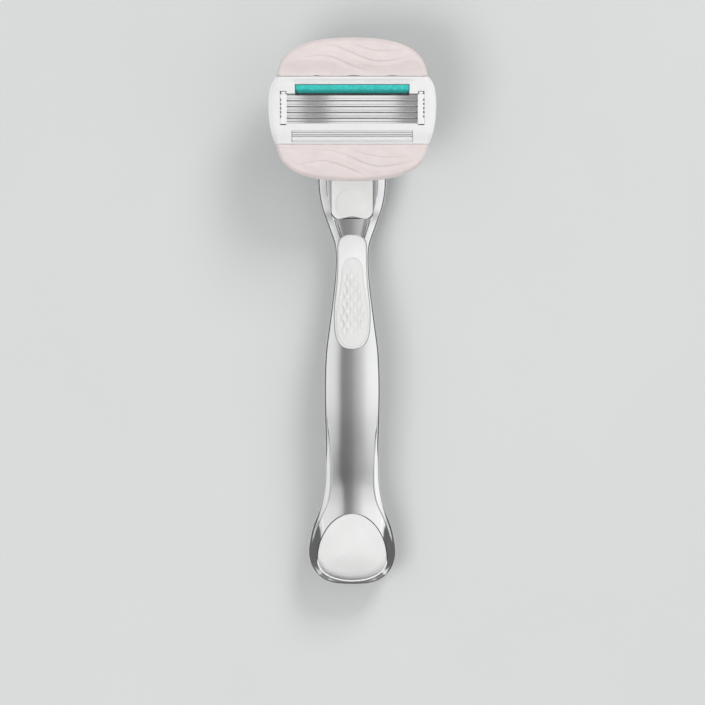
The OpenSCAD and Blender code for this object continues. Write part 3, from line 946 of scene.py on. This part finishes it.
def button_height(x, y):
    """The button's top: a sloping plane with a round thumb dish."""
    dish_y, dish_radius = 29.3, 4.75
    away = math.hypot(x, y - dish_y) / dish_radius
    dish = 0.95 * (1 - away**2) ** 0.8 if away < 1 else 0.0
    crown = 0.25 * (x / BUTTON_HALF) ** 2
    ridge = 0.1 * math.exp(-(((away - 1) / 0.07) ** 2))
    return dock_height(y, 1.15) - dish - crown + ridge


class RAZOR_OT_release_button(bpy.types.Operator):
    """Sliding release button with a thumb dish and its spring tab"""

    bl_idname = "razor.release_button"
    bl_label = "Release button"

    def execute(self, context):
        bm = bmesh.new()
        top_y = BUTTON_HIGH.y - 0.4

        def place(u, v):
            x = math.sin((u - 0.5) * math.pi) * BUTTON_HALF * 0.983
            y = mix(button_end(x), top_y, v)
            return Vector((x, y, button_height(x, y)))

        placed_grid(bm, 44, 44, place)
        weld(bm)
        roll_edge(bm, [(0.08, 0.03), (0.15, 0.1), (0.19, 0.22), (0.19, 1.9)])
        tab_low = box_mm("button_spring")[0]
        block(bm, (-1.5, tab_low.y - 1.6, dock_height(tab_low.y, -4.4)),
              (1.5, tab_low.y - 0.3, dock_height(tab_low.y, -0.6)))
        finish = gloss_plastic_finish("Button plastic", shown_colours().button)
        make_piece("release_button_shell", bm, "button", finish, "button_plastic", ["release_button"],
                   sharp=50)
        return {"FINISHED"}


# ---------------------------------------------------------------- head

UPPER_SEAM = 64.0
LOWER_SEAM = 45.7
# Half width of the housing band at y
BAND_STATIONS = [
    (45.7, 21.0), (47.0, 21.6), (48.5, 22.1), (50.2, 22.5), (52.0, 22.8), (54.5, 23.0), (57.0, 23.05),
    (59.0, 22.9), (60.8, 22.65), (62.0, 22.25), (63.0, 21.7), (63.6, 21.2), (64.0, 20.7),
]
WINDOW_LOW, WINDOW_HIGH = 51.3, 59.45
WINDOW_HALF = 18.05
CLIP_INNER, CLIP_OUTER = 17.95, 19.42
CLIP_POCKET = 19.78
STRIP_LOW, STRIP_HIGH = box_mm("lubricating_strip")
GUARD_LOW = box_mm("guard")[0]
GUARD_HALF = 16.5
BLADE_HALF, SUPPORT_HALF = 18.4, 18.2


def band_half(y):
    return table_row(BAND_STATIONS, y)[0]


def housing_height(x, y):
    """The skin of the housing: level round the blades and falling away to the two seams and the sides."""
    low_fall = 0.75 * smooth((49.0 - y) / 3.4)
    across = 1 - smooth((abs(x) - 15.5) / 2.5)
    high_fall = 0.75 * across * smooth((63.75 - y) / 1.3) * (1 - smooth((62.35 - y) / 0.25))
    half = band_half(y)
    side_fall = 0.9 * max(0.0, (abs(x) - 20.0) / (half - 20.0)) ** 2.2 if half > 20.05 else 0.0
    return SKIN_Z - low_fall - high_fall - side_fall


class RAZOR_OT_housing(bpy.types.Operator):
    """White housing with its window, clip pockets and strip seat"""

    bl_idname = "razor.housing"
    bl_label = "Housing"

    def execute(self, context):
        rim = 0.42
        inner = [*range(0, 15, 2), 15.7, 16.6, WINDOW_HALF, CLIP_INNER + 0.75, CLIP_POCKET, 20.1]
        outer = [0.12, 0.25, 0.38, 0.5, 0.62, 0.74, 0.85, 0.93, 1.0]
        columns = [("share", -s) for s in reversed(outer)] + [("at", -x) for x in reversed(inner[1:])]
        columns += [("at", x) for x in inner] + [("share", s) for s in outer]
        rows = [45.95, 46.15, 46.5, 47.2, 48.0, 48.7, 49.35, 49.8, 50.2, 50.85, WINDOW_LOW]
        rows += [*range(52, 60), WINDOW_HIGH, 59.95, 60.15, 61.0, 61.5, 62.05, 62.15, 62.25, 62.35, 62.5]
        rows += [62.75, 63.0, 63.3, 63.5, 63.72]
        bm = bmesh.new()

        def place(u, v):
            y = rows[round(v * (len(rows) - 1))]
            kind, value = columns[round(u * (len(columns) - 1))]
            if kind == "share":
                edge = max(band_half(y) - rim, 20.15)
                x = math.copysign(mix(20.1, edge, abs(value)), value)
            else:
                x = value
            return Vector((x, y, housing_height(x, y)))

        placed_grid(bm, len(columns) - 1, len(rows) - 1, place)
        weld(bm)
        steps = [(0.12, 0.02), (0.25, 0.09), (0.35, 0.2), (0.41, 0.34), (0.42, 0.5), (0.42, 5.0)]
        roll_edge(bm, steps, close=False)

        def inside(face, x_low, x_high, y_low, y_high):
            middle = face.calc_center_median()
            return x_low < abs(middle.x) < x_high and y_low < middle.y < y_high and face.normal.z > 0.5

        bm.faces.ensure_lookup_table()
        bmesh.ops.recalc_face_normals(bm, faces=bm.faces)
        if sum(face.normal.z for face in bm.faces) < 0:
            bmesh.ops.reverse_faces(bm, faces=bm.faces)
        window = [face for face in bm.faces if inside(face, -1, WINDOW_HALF, WINDOW_LOW, WINDOW_HIGH)]
        pockets = [face for face in bm.faces if inside(face, WINDOW_HALF, CLIP_POCKET, 50.85, 60.15)]
        strip = [face for face in bm.faces if inside(face, -1, 15.7, WINDOW_HIGH, 62.05)]
        guard = [face for face in bm.faces if inside(face, -1, 16.6, 46.15, 49.35)]
        for faces, depth in ((window + pockets, 4.9), (strip, 1.2), (guard, 1.0)):
            made = bmesh.ops.extrude_face_region(bm, geom=faces)["geom"]
            bmesh.ops.translate(bm, vec=(0, 0, -depth), verts=of_kind(made, BMVert))
            bmesh.ops.delete(bm, geom=faces, context="FACES")
            if depth > 3:
                bmesh.ops.delete(bm, geom=of_kind(made, BMFace), context="FACES")
        finish = gloss_plastic_finish("Housing plastic", shown_colours().white)
        make_piece("housing_shell", bm, "head", finish, "housing_plastic", ["housing"], bevel=0.07,
                   sharp=50)
        return {"FINISHED"}


def wave_depth(points, waves, width, depth):
    """Depth of shallow channels at flat points: sharp on one side, easing out on the other."""
    total = np.zeros(len(points))
    for wave in waves:
        line = []
        for a, b, c, d in zip([wave[0], *wave[:-2]], wave[:-1], wave[1:], [*wave[2:], wave[-1]]):
            one = (b[0] + (c[0] - a[0]) / 6, b[1] + (c[1] - a[1]) / 6)
            two = (c[0] - (d[0] - b[0]) / 6, c[1] - (d[1] - b[1]) / 6)
            line += [bezier(b, one, two, c, i / 10) for i in range(10)]
        line.append(wave[-1])
        line = np.array(line)
        nearest = np.full(len(points), 1e9)
        side = np.zeros(len(points))
        share = np.zeros(len(points))
        for i, (a, b) in enumerate(zip(line[:-1], line[1:])):
            along = b - a
            length = float(np.hypot(*along))
            t = np.clip(((points - a) @ along) / length**2, 0, 1)
            gap = points - (a + t[:, None] * along)
            far = np.hypot(gap[:, 0], gap[:, 1])
            closer = far < nearest
            nearest = np.where(closer, far, nearest)
            side = np.where(closer, (along[1] * gap[:, 0] - along[0] * gap[:, 1]) / length, side)
            share = np.where(closer, (i + t) / (len(line) - 1), share)
        off = np.where(side > 0, nearest, -nearest)
        taper = np.clip(np.sin(np.pi * share), 0, 1) ** 0.6
        taper = np.where((share <= 0) | (share >= 1), 0, taper)
        room = width * (0.45 + 0.55 * taper)
        wall = np.clip((off + 0.12) / 0.24, 0, 1)
        wall = wall * wall * (3 - 2 * wall)
        ease = np.clip((off - 0.12) / room, 0, 1)
        ease = 1 - ease**1.4
        total += depth * taper * wall * ease
    return total


# The bars' far ends and the height of their crests
UPPER_FAR, LOWER_FAR = 74.9, 35.4
BAR_CREST = 24.4
# Places that each wave runs through, as (x, y)
UPPER_WAVES = [
    [(-11.5, 72.6), (-8.5, 72.9), (-4.5, 72.5), (-0.6, 71.0), (4.2, 69.0), (8.4, 68.5), (13.4, 69.1),
     (17.5, 70.4)],
    [(-13.5, 69.3), (-8.9, 70.0), (-4.9, 69.4), (-0.2, 67.3), (4.0, 66.0)],
    [(0.5, 72.9), (2.4, 72.4), (6.2, 71.4), (10.9, 71.2), (15.0, 71.9)],
]
LOWER_WAVES = [
    [(-11.8, 43.6), (-8.9, 44.1), (-4.9, 43.8), (-0.7, 42.3), (4.2, 40.3), (8.5, 39.6), (14.5, 40.6),
     (18.0, 41.8)],
    [(-15.5, 39.8), (-13.1, 40.4), (-8.6, 41.2), (-4.9, 40.6), (-0.2, 38.8), (3.6, 37.2)],
    [(-1.6, 44.5), (0.6, 43.9), (3.9, 43.0), (6.9, 42.4), (11.0, 42.1), (14.5, 42.6), (17.5, 43.4)],
]


def bar_piece(name, node, body, seam, far, half, waves, notches):
    """One crowned bar of soap: straight along the seam, bowed on its far side, with shallow waves."""
    rim = 0.35
    toward = 1 if far > seam else -1
    seam_line = seam + toward * 0.3
    corner = (half - rim, seam_line + toward * 0.15)
    shoulder = (half - 1 - rim, seam + 0.68 * (far - seam))
    reach = (0.66 * half, far - toward * rim)
    end = (0.0, far - toward * rim)
    columns = 180
    levels = 64
    bm = bmesh.new()

    def notch(x):
        return sum(deep * max(0.0, 1 - ((x - at) / wide) ** 2) ** 0.5 for at, wide, deep in notches)

    def place(u, v):
        t = min(2 * u, 2 - 2 * u)
        x, top = bezier(corner, shoulder, reach, end, t)
        x = x if u > 0.5 else -x
        low = seam_line + toward * (0.12 + notch(x))
        return Vector((x, mix(low, top, v), 0.0))

    placed_grid(bm, columns, levels, place)
    weld(bm, 1e-3)
    arc = [bezier(corner, shoulder, reach, end, i / 60) for i in range(61)]
    below = (0.0, seam_line - toward * 20)
    outline = arc + [(-x, y) for x, y in reversed(arc)] + [below]
    corners = list(bm.verts)
    flat = np.array([(v.co.x, v.co.y) for v in corners])
    gaps = edge_distances(flat, outline)
    depth = wave_depth(flat, waves, 1.25, shown_sizes().groove_depth / MM)
    for vertex, gap, deep in zip(corners, gaps, depth):
        inward = toward * (vertex.co.y - seam_line)
        fall = (0.95 if toward > 0 else 0.6) * (1 - smooth(inward / 4.8))
        slope = 0.02 * max(0.0, inward - 4.0) ** 2
        vertex.co.z = BAR_CREST - fall - slope - rounded(float(gap) + rim, 1.4) - deep
    roll_edge(bm, [(0.1, 0.05), (0.2, 0.14), (0.27, 0.26), (0.3, 0.42), (0.3, 0.9)], close=False)
    drop_rim(bm, box_mm(node)[0].z)
    make_piece(name, bm, body, soap_finish(shown_colours().soap), "moisture_bar", [node], sharp=55)


class RAZOR_OT_moisture_bars(bpy.types.Operator):
    """The two pale pink moisture bars with their shallow waves"""

    bl_idname = "razor.moisture_bars"
    bl_label = "Moisture bars"

    def execute(self, context):
        bar_piece("upper_soap", "upper_moisture_bar", "upper_wing", UPPER_SEAM, UPPER_FAR, 20.75,
                  UPPER_WAVES, [(-9.75, 1.1, 0.3), (0.5, 2.0, 0.3), (10.9, 1.4, 0.3)])
        bar_piece("lower_soap", "lower_moisture_bar", "lower_wing", LOWER_SEAM, LOWER_FAR, 20.9,
                  LOWER_WAVES, [])
        return {"FINISHED"}


class RAZOR_OT_strip(bpy.types.Operator):
    """Teal lubricating strip with a sloping lower side and rounded ends"""

    bl_idname = "razor.strip"
    bl_label = "Lubricating strip"

    def execute(self, context):
        half = (STRIP_HIGH.x - STRIP_LOW.x) / 2
        low, high = STRIP_LOW.y + 0.02, STRIP_HIGH.y - 0.03
        levels = [0, 0.04, 0.1, 0.2, 0.3, 0.38, 0.44, 0.5, 0.6, 0.75, 0.88, 0.95, 1.0]
        bm = bmesh.new()

        def place(u, v):
            share = levels[round(v * (len(levels) - 1))]
            y = mix(low, high, share)
            near_end = min(u, 1 - u) * 2 * half
            end = half - 0.42 * (1 - smooth(share / 0.45)) - 0.18 * smooth((share - 0.85) / 0.15)
            x = math.copysign(end, u - 0.5) * abs(2 * u - 1)
            z = STRIP_HIGH.z - 0.62 * (1 - smooth(share / 0.5)) ** 0.9 - 0.16 * smooth((share - 0.84) / 0.16)
            return Vector((x, y, z - rounded(near_end, 0.5)))

        placed_grid(bm, 124, len(levels) - 1, place)
        weld(bm)
        roll_edge(bm, [(0.0, 0.3), (0.0, 1.0)])
        make_piece("strip_body", bm, "head", strip_finish(shown_colours().strip), "lube_strip",
                   ["lubricating_strip"], sharp=60)
        return {"FINISHED"}


class RAZOR_OT_guard(bpy.types.Operator):
    """Soft guard: a row of thin fins below the blades"""

    bl_idname = "razor.guard"
    bl_label = "Guard"

    def execute(self, context):
        low, high = 46.2, 49.34
        grooves = (46.62, 47.72, 48.22, 48.87)
        profile = [(low, GUARD_LOW.z + 0.6)]
        for at in grooves:
            side = [(0.2, 0.0), (0.14, 0.12), (0.11, 0.7)]
            for off, drop in [(-a, b) for a, b in side] + side[::-1]:
                y = at + off
                profile.append((y, housing_height(0, y) - 0.02 - drop))
        profile += [(high - 0.04, housing_height(0, high) - 0.03), (high, GUARD_LOW.z + 0.6)]
        bm = bmesh.new()
        drawn_along_x(bm, profile, GUARD_HALF, 22)
        finish = soft_touch_finish(shown_colours().white)
        make_piece("guard_fins", bm, "head", finish, "guard_rubber", ["guard"])
        return {"FINISHED"}


class RAZOR_OT_clips(bpy.types.Operator):
    """Bright metal clips over the blade ends, with a row of small openings"""

    bl_idname = "razor.clips"
    bl_label = "Clips"

    def execute(self, context):
        finish = steel_finish("Clip metal", shown_colours().clip, (0.5, 0.62), (5, 5, 5), 0.3)
        slots = (57.75, 56.6, 55.45, 54.35, 53.2)
        ys = [51.12, 51.4] + sorted(y for at in slots for y in (at - 0.3, at + 0.3)) + [59.3, 59.43, 60.0]
        for side, node, name in ((-1, "clip_left", "clip_plate_left"), (1, "clip_right", "clip_plate_right")):
            xs = [CLIP_INNER, 18.25, 18.6, 19.0, CLIP_OUTER, CLIP_POCKET - 0.04]
            bm = bmesh.new()

            def place(u, v):
                x = xs[round(u * (len(xs) - 1))]
                top = SKIN_Z + 0.14 - 0.1 * smooth((x - 19.2) / 0.6)
                return Vector((side * x, ys[round(v * (len(ys) - 1))], top))

            placed_grid(bm, len(xs) - 1, len(ys) - 1, place)
            weld(bm)

            def is_open(face):
                middle = face.calc_center_median()
                x = abs(middle.x)
                if middle.y > 59.43:
                    return x < 18.25 or x > CLIP_OUTER
                if middle.y > 59.3:
                    return not 18.6 < x < 19.0
                return x > CLIP_OUTER and any(abs(middle.y - at) < 0.1 for at in slots)

            bmesh.ops.delete(bm, geom=[face for face in bm.faces if is_open(face)], context="FACES")
            drop_rim(bm, SKIN_Z - 0.12)
            make_piece(name, bm, "head", finish, "clip_metal", [node], bevel=0.03)
        return {"FINISHED"}


class RAZOR_OT_blades(bpy.types.Operator):
    """Five honed blades, each on its bent support"""

    bl_idname = "razor.blades"
    bl_label = "Blades"

    def execute(self, context):
        colours = shown_colours()
        steel = steel_finish("Blade steel", colours.steel, (0.13, 0.17))
        support = steel_finish("Support steel", colours.support, (0.25, 0.36))
        body = [(0.0, 0.0), (0.24, -0.13), (0.36, -0.145), (0.9, -0.35), (1.44, -0.56), (1.44, -0.68),
                (0.5, -0.36), (0.15, -0.2)]
        bent = [(0.3, -0.32), (1.02, -0.6), (1.02, -3.0), (0.77, -3.0), (0.77, -0.77), (0.3, -0.57)]
        for index in range(1, 6):
            blade = "blade_%d" % index
            low, high = box_mm(blade)
            bm = bmesh.new()
            drawn_along_x(bm, [(low.y + y, high.z + z) for y, z in body], BLADE_HALF, 12)
            make_piece("honed_" + blade, bm, blade, steel, "blade_steel", [blade], sharp=14)
            bm = bmesh.new()
            drawn_along_x(bm, [(low.y + y, high.z + z) for y, z in bent], SUPPORT_HALF, 12)
            make_piece("bent_support_%d" % index, bm, blade, support, "support_steel",
                       ["blade_support_%d" % index], bevel=0.04)
        return {"FINISHED"}


def coil(bm, axis_from, axis_to, radius, wire, turns):
    """A closed coil of round wire between two points, swept from one ring of the wire."""
    start, end = Vector(axis_from), Vector(axis_to)
    along = (end - start).normalized()
    across = along.orthogonal().normalized()
    other = along.cross(across)
    steps = int(turns * 20)

    def place(u, v):
        angle = 2 * math.pi * turns * round(v * steps) / steps
        out = across * math.cos(angle) + other * math.sin(angle)
        around = 2 * math.pi * u
        middle = start.lerp(end, v) + out * radius
        return middle + out * (wire * math.cos(around)) + along * (wire * math.sin(around))

    placed_grid(bm, 8, steps, place)
    weld(bm)
    close_holes(bm)


class RAZOR_OT_springs(bpy.types.Operator):
    """Coil springs of the button and the plunger"""

    bl_idname = "razor.springs"
    bl_label = "Springs"

    def execute(self, context):
        spring_steel = steel_finish("Spring steel", shown_colours().support, (0.25, 0.35), (3, 3, 3))
        for node, joint, length, travel, radius, wire, turns, fixed_end in (
            ("button_spring", "button_slide", 4.2, 3.0, 1.05, 0.2, 5, 1),
            ("plunger_spring", "plunger_slide", 6.6, 2.5, 1.5, 0.22, 7, -1),
        ):
            low, high = box_mm(node)
            middle = (low + high) / 2
            reach = Vector(DOCK_AXIS) * length / 2
            bm = bmesh.new()
            coil(bm, middle - reach, middle + reach, radius, wire, turns)
            piece = make_piece(node + "_coil", bm, "handle", spring_steel, "spring_steel", [node], sharp=60)
            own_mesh(piece)
        return {"FINISHED"}


class RAZOR_OT_docking(bpy.types.Operator):
    """Docking frame, plunger, connector and the back of the head"""

    bl_idname = "razor.docking"
    bl_label = "Docking and head frame"

    def execute(self, context):
        colours = shown_colours()
        rough = (0.3, 0.4)
        frame_plastic = gloss_plastic_finish("Frame plastic", colours.frame, rough)
        wing_plastic = gloss_plastic_finish("Wing plastic", colours.white, rough)
        plunger_plastic = gloss_plastic_finish("Plunger plastic", colours.frame)
        connector_plastic = gloss_plastic_finish("Connector plastic", colours.frame)
        for node, name, body, material, slot, bevel in (
            ("docking_frame", "docking_block", "handle", frame_plastic, "frame_plastic", 0.2),
            ("plunger", "plunger_body", "plunger", plunger_plastic, "plunger_plastic", 0.15),
            ("connector", "connector_body", "connector", connector_plastic, "connector_plastic", 0.15),
            ("back_frame", "back_frame_body", "head", wing_plastic, "housing_plastic", 0.2),
            ("upper_wing", "upper_wing_body", "upper_wing", wing_plastic, "wing_plastic", 0.25),
            ("lower_wing", "lower_wing_body", "lower_wing", wing_plastic, "wing_plastic", 0.25),
        ):
            softened_copy(node, name, body, material, slot, bevel)
        return {"FINISHED"}


# ---------------------------------------------------------------- stage

class RAZOR_OT_stage(bpy.types.Operator):
    """Pale floor, soft lights and the camera"""

    bl_idname = "razor.stage"
    bl_label = "Stage"

    def execute(self, context):
        sizes = shown_sizes()
        bm = bmesh.new()
        bmesh.ops.create_grid(bm, x_segments=1, y_segments=1, size=2.0)
        mesh = bpy.data.meshes.new("floor")
        bm.to_mesh(mesh)
        bm.free()
        mesh.materials.append(floor_finish(shown_colours().floor))
        floor = bpy.data.objects.new("floor", mesh)
        context.scene.collection.objects.link(floor)
        self.make_world(context)
        # Tall panels low on both sides
        self.panel_light("left panel", (-0.765, 0.0, 0.43), (0, 0, 0), (1.3, 0.24), 0.5)
        self.panel_light("right panel", (0.765, 0.0, 0.43), (0, 0, 0), (1.3, 0.24), 0.7)
        self.panel_light("foot panel", (0.0, -0.75, 0.55), (0, 0, 0), (0.9, 0.4), 0.5)
        key = self.panel_light("key panel", (0.5, 0.85, 0.75), (0, 0, 0), (0.5, 0.5), 9.6)
        key.visible_glossy = False
        fill = self.panel_light("fill panel", (-0.45, -0.35, 1.0), (0, 0, 0), (0.6, 0.6), 4.8)
        fill.visible_glossy = False
        # Small reflectors near the blades, with a gap that shows as a soft dark band across them
        for side, x, width in (("left", -0.0168, 0.006), ("right", 0.003, 0.019)):
            for part, y, z, radiance in (("upper", 0.0875, 0.064, 0.66), ("lower", 0.0986, 0.0515, 0.95)):
                reflector = self.panel_light("%s %s reflector" % (side, part), (x, y, z), (x, 0.0555, 0.0235),
                                             (width, 0.018), radiance)
                reflector.visible_diffuse = False
        self.make_camera(context, sizes)
        return {"FINISHED"}

    def make_world(self, context):
        """A soft pale surround with a dimmer patch overhead that is darker on the left than on the right."""
        world = bpy.data.worlds.new("studio")
        context.scene.world = world
        world.use_nodes = True
        nodes, links = world.node_tree.nodes, world.node_tree.links
        place = nodes.new("ShaderNodeTexCoord")
        split = nodes.new("ShaderNodeSeparateXYZ")
        links.new(place.outputs["Generated"], split.inputs["Vector"])

        def span(value, low, high):
            node = nodes.new("ShaderNodeMapRange")
            node.inputs["From Min"].default_value = low
            node.inputs["From Max"].default_value = high
            links.new(value, node.inputs["Value"])
            return node.outputs["Result"]

        def greys(value, stops):
            node = nodes.new("ShaderNodeValToRGB")
            links.new(value, node.inputs["Fac"])
            elements = node.color_ramp.elements
            for element, (at, grey) in ((elements[0], stops[0]), (elements[1], stops[-1])):
                element.position, element.color = at, (grey, grey, grey, 1)
            for at, grey in stops[1:-1]:
                elements.new(at).color = (grey, grey, grey, 1)
            return node.outputs["Color"]

        # How bright it is overhead, by direction from left to right
        edge = 0.6
        levels = (
            (-0.6, 0.9), (-0.52, 0.88), (-0.47, 0.66), (-0.44, 0.48), (-0.4, 0.285), (-0.28, 0.275),
            (-0.03, 0.34), (0.09, 0.43), (0.23, 0.52), (0.34, 0.62), (0.42, 0.74), (0.47, 0.92),
            (0.52, 1.04), (0.6, 1.08),
        )
        stops = [((x + edge) / (2 * edge), grey) for x, grey in levels]
        across = greys(span(split.outputs["X"], -edge, edge), stops)
        # A boom overhead, towards the pommel, dims one stretch of it
        dim = greys(span(split.outputs["Y"], -0.6, 0.2), [(0.33, 1), (0.45, 0.62), (0.72, 1)])
        overhead = nodes.new("ShaderNodeVectorMath")
        overhead.operation = "MULTIPLY"
        links.new(across, overhead.inputs[0])
        links.new(dim, overhead.inputs[1])
        # A darker ring low down all round
        blend = nodes.new("ShaderNodeMix")
        blend.data_type = "RGBA"
        links.new(greys(split.outputs["Z"], [(0.3, 0.14), (0.5, 0.4)]), blend.inputs["A"])
        links.new(span(split.outputs["Z"], 0.54, 0.63), blend.inputs["Factor"])
        links.new(overhead.outputs["Vector"], blend.inputs["B"])
        links.new(blend.outputs["Result"], nodes["Background"].inputs["Color"])
        nodes["Background"].inputs["Strength"].default_value = 1.0

    def panel_light(self, name, place, target, size, radiance):
        """A soft panel aimed at a point, as bright as radiance whatever its size."""
        data = bpy.data.lights.new(name, "AREA")
        data.shape = "RECTANGLE"
        data.size, data.size_y = size
        data.energy = radiance * math.pi * size[0] * size[1]
        light = bpy.data.objects.new(name, data)
        light.location = place
        away = (Vector(place) - Vector(target)).normalized()
        side = Vector((0, 1, 0)) if abs(away.y) < 0.5 else Vector((1, 0, 0))
        upward = away.cross(side).normalized()
        turn = Matrix((side, upward, away)).transposed()
        light.rotation_euler = turn.to_euler()
        light.visible_camera = False
        bpy.context.scene.collection.objects.link(light)
        return light

    def make_camera(self, context, sizes):
        """Looks straight down, with +Y up in the picture."""
        data = bpy.data.cameras.new("camera")
        data.type = "ORTHO"
        data.ortho_scale = sizes.frame_width
        camera = bpy.data.objects.new("camera", data)
        camera.location = (sizes.frame_x, sizes.frame_y, 1.5)
        camera.rotation_euler = (0, 0, 0)
        data.clip_end = 10
        data.dof.use_dof = False
        context.scene.collection.objects.link(camera)
        context.scene.camera = camera
        context.scene.view_settings.view_transform = "Standard"


# ---------------------------------------------------------------- properties, panel, main

def colour_property(name, description, default):
    return bpy.props.FloatVectorProperty(name=name, description=description, default=default, subtype="COLOR",
                                         min=0.0, max=1.0, size=3)


def length_property(name, description, default):
    return bpy.props.FloatProperty(name=name, description=description, default=default, unit="LENGTH",
                                   subtype="DISTANCE", precision=5)


class RazorSizes(bpy.types.PropertyGroup):
    """Sizes that a user would change"""

    facet_depth: length_property("Facet depth", "Depth of the diamonds in the grip pad", 0.00052)
    groove_depth: length_property("Groove depth", "Depth of the waves in the moisture bars", 0.00026)
    frame_width: length_property("Picture width", "Width of what the camera sees", 0.19303)
    frame_x: length_property("Picture centre X", "X of the middle of the picture", 0.00008)
    frame_y: length_property("Picture centre Y", "Y of the middle of the picture", -0.01143)


class RazorColours(bpy.types.PropertyGroup):
    """Colours of the finishes"""

    chrome: colour_property("Chrome", "Colour of the plated handle", (0.83, 0.83, 0.84))
    white: colour_property("White", "Colour of the white plastic", (0.76, 0.76, 0.76))
    pad: colour_property("Pad", "Colour of the soft grip pad", (0.69, 0.69, 0.68))
    soap: colour_property("Soap", "Colour of the moisture bars", (0.705, 0.635, 0.625))
    strip: colour_property("Strip", "Colour of the lubricating strip", (0.045, 0.45, 0.415))
    steel: colour_property("Steel", "Colour of the blades", (0.77, 0.77, 0.775))
    support: colour_property("Support steel", "Colour of the blade supports", (0.5, 0.5, 0.52))
    clip: colour_property("Clip", "Colour of the clips", (0.92, 0.92, 0.92))
    cap: colour_property("Cap", "Colour of the pommel cap", (0.74, 0.74, 0.735))
    # Lighter than the cap: partly the rim's own white, partly a painted highlight along the cap's edge
    rim: colour_property("Rim", "Colour of the rim round the pommel cap", (0.88, 0.88, 0.88))
    button: colour_property("Button", "Colour of the release button", (0.88, 0.88, 0.87))
    frame: colour_property("Frame", "Colour of the docking frame", (0.72, 0.72, 0.72))
    floor: colour_property("Floor", "Colour of the floor", (0.62, 0.63, 0.63))


class RAZOR_PT_pieces(bpy.types.Panel):
    """Lists the pieces that can be made"""

    bl_idname = "RAZOR_PT_pieces"
    bl_label = "Cartridge Razor"
    bl_space_type = "VIEW_3D"
    bl_region_type = "UI"
    bl_category = "Razor"

    def draw(self, context):
        for operator in PIECE_OPERATORS:
            self.layout.operator(operator.bl_idname)


PIECE_OPERATORS = (
    RAZOR_OT_handle,
    RAZOR_OT_grip,
    RAZOR_OT_pommel_cap,
    RAZOR_OT_release_button,
    RAZOR_OT_housing,
    RAZOR_OT_moisture_bars,
    RAZOR_OT_strip,
    RAZOR_OT_guard,
    RAZOR_OT_clips,
    RAZOR_OT_blades,
    RAZOR_OT_springs,
    RAZOR_OT_docking,
    RAZOR_OT_stage,
)
CLASSES = (RazorSizes, RazorColours, *PIECE_OPERATORS, RAZOR_PT_pieces)


def register():
    for cls in CLASSES:
        bpy.utils.register_class(cls)
    bpy.types.Scene.razor_sizes = bpy.props.PointerProperty(type=RazorSizes)
    bpy.types.Scene.razor_colours = bpy.props.PointerProperty(type=RazorColours)


def unregister():
    del bpy.types.Scene.razor_colours
    del bpy.types.Scene.razor_sizes
    for cls in reversed(CLASSES):
        bpy.utils.unregister_class(cls)


def main():
    register()
    for operator in PIECE_OPERATORS:
        group, name = operator.bl_idname.split(".")
        getattr(getattr(bpy.ops, group), name)()


if __name__ == "__main__":
    main()
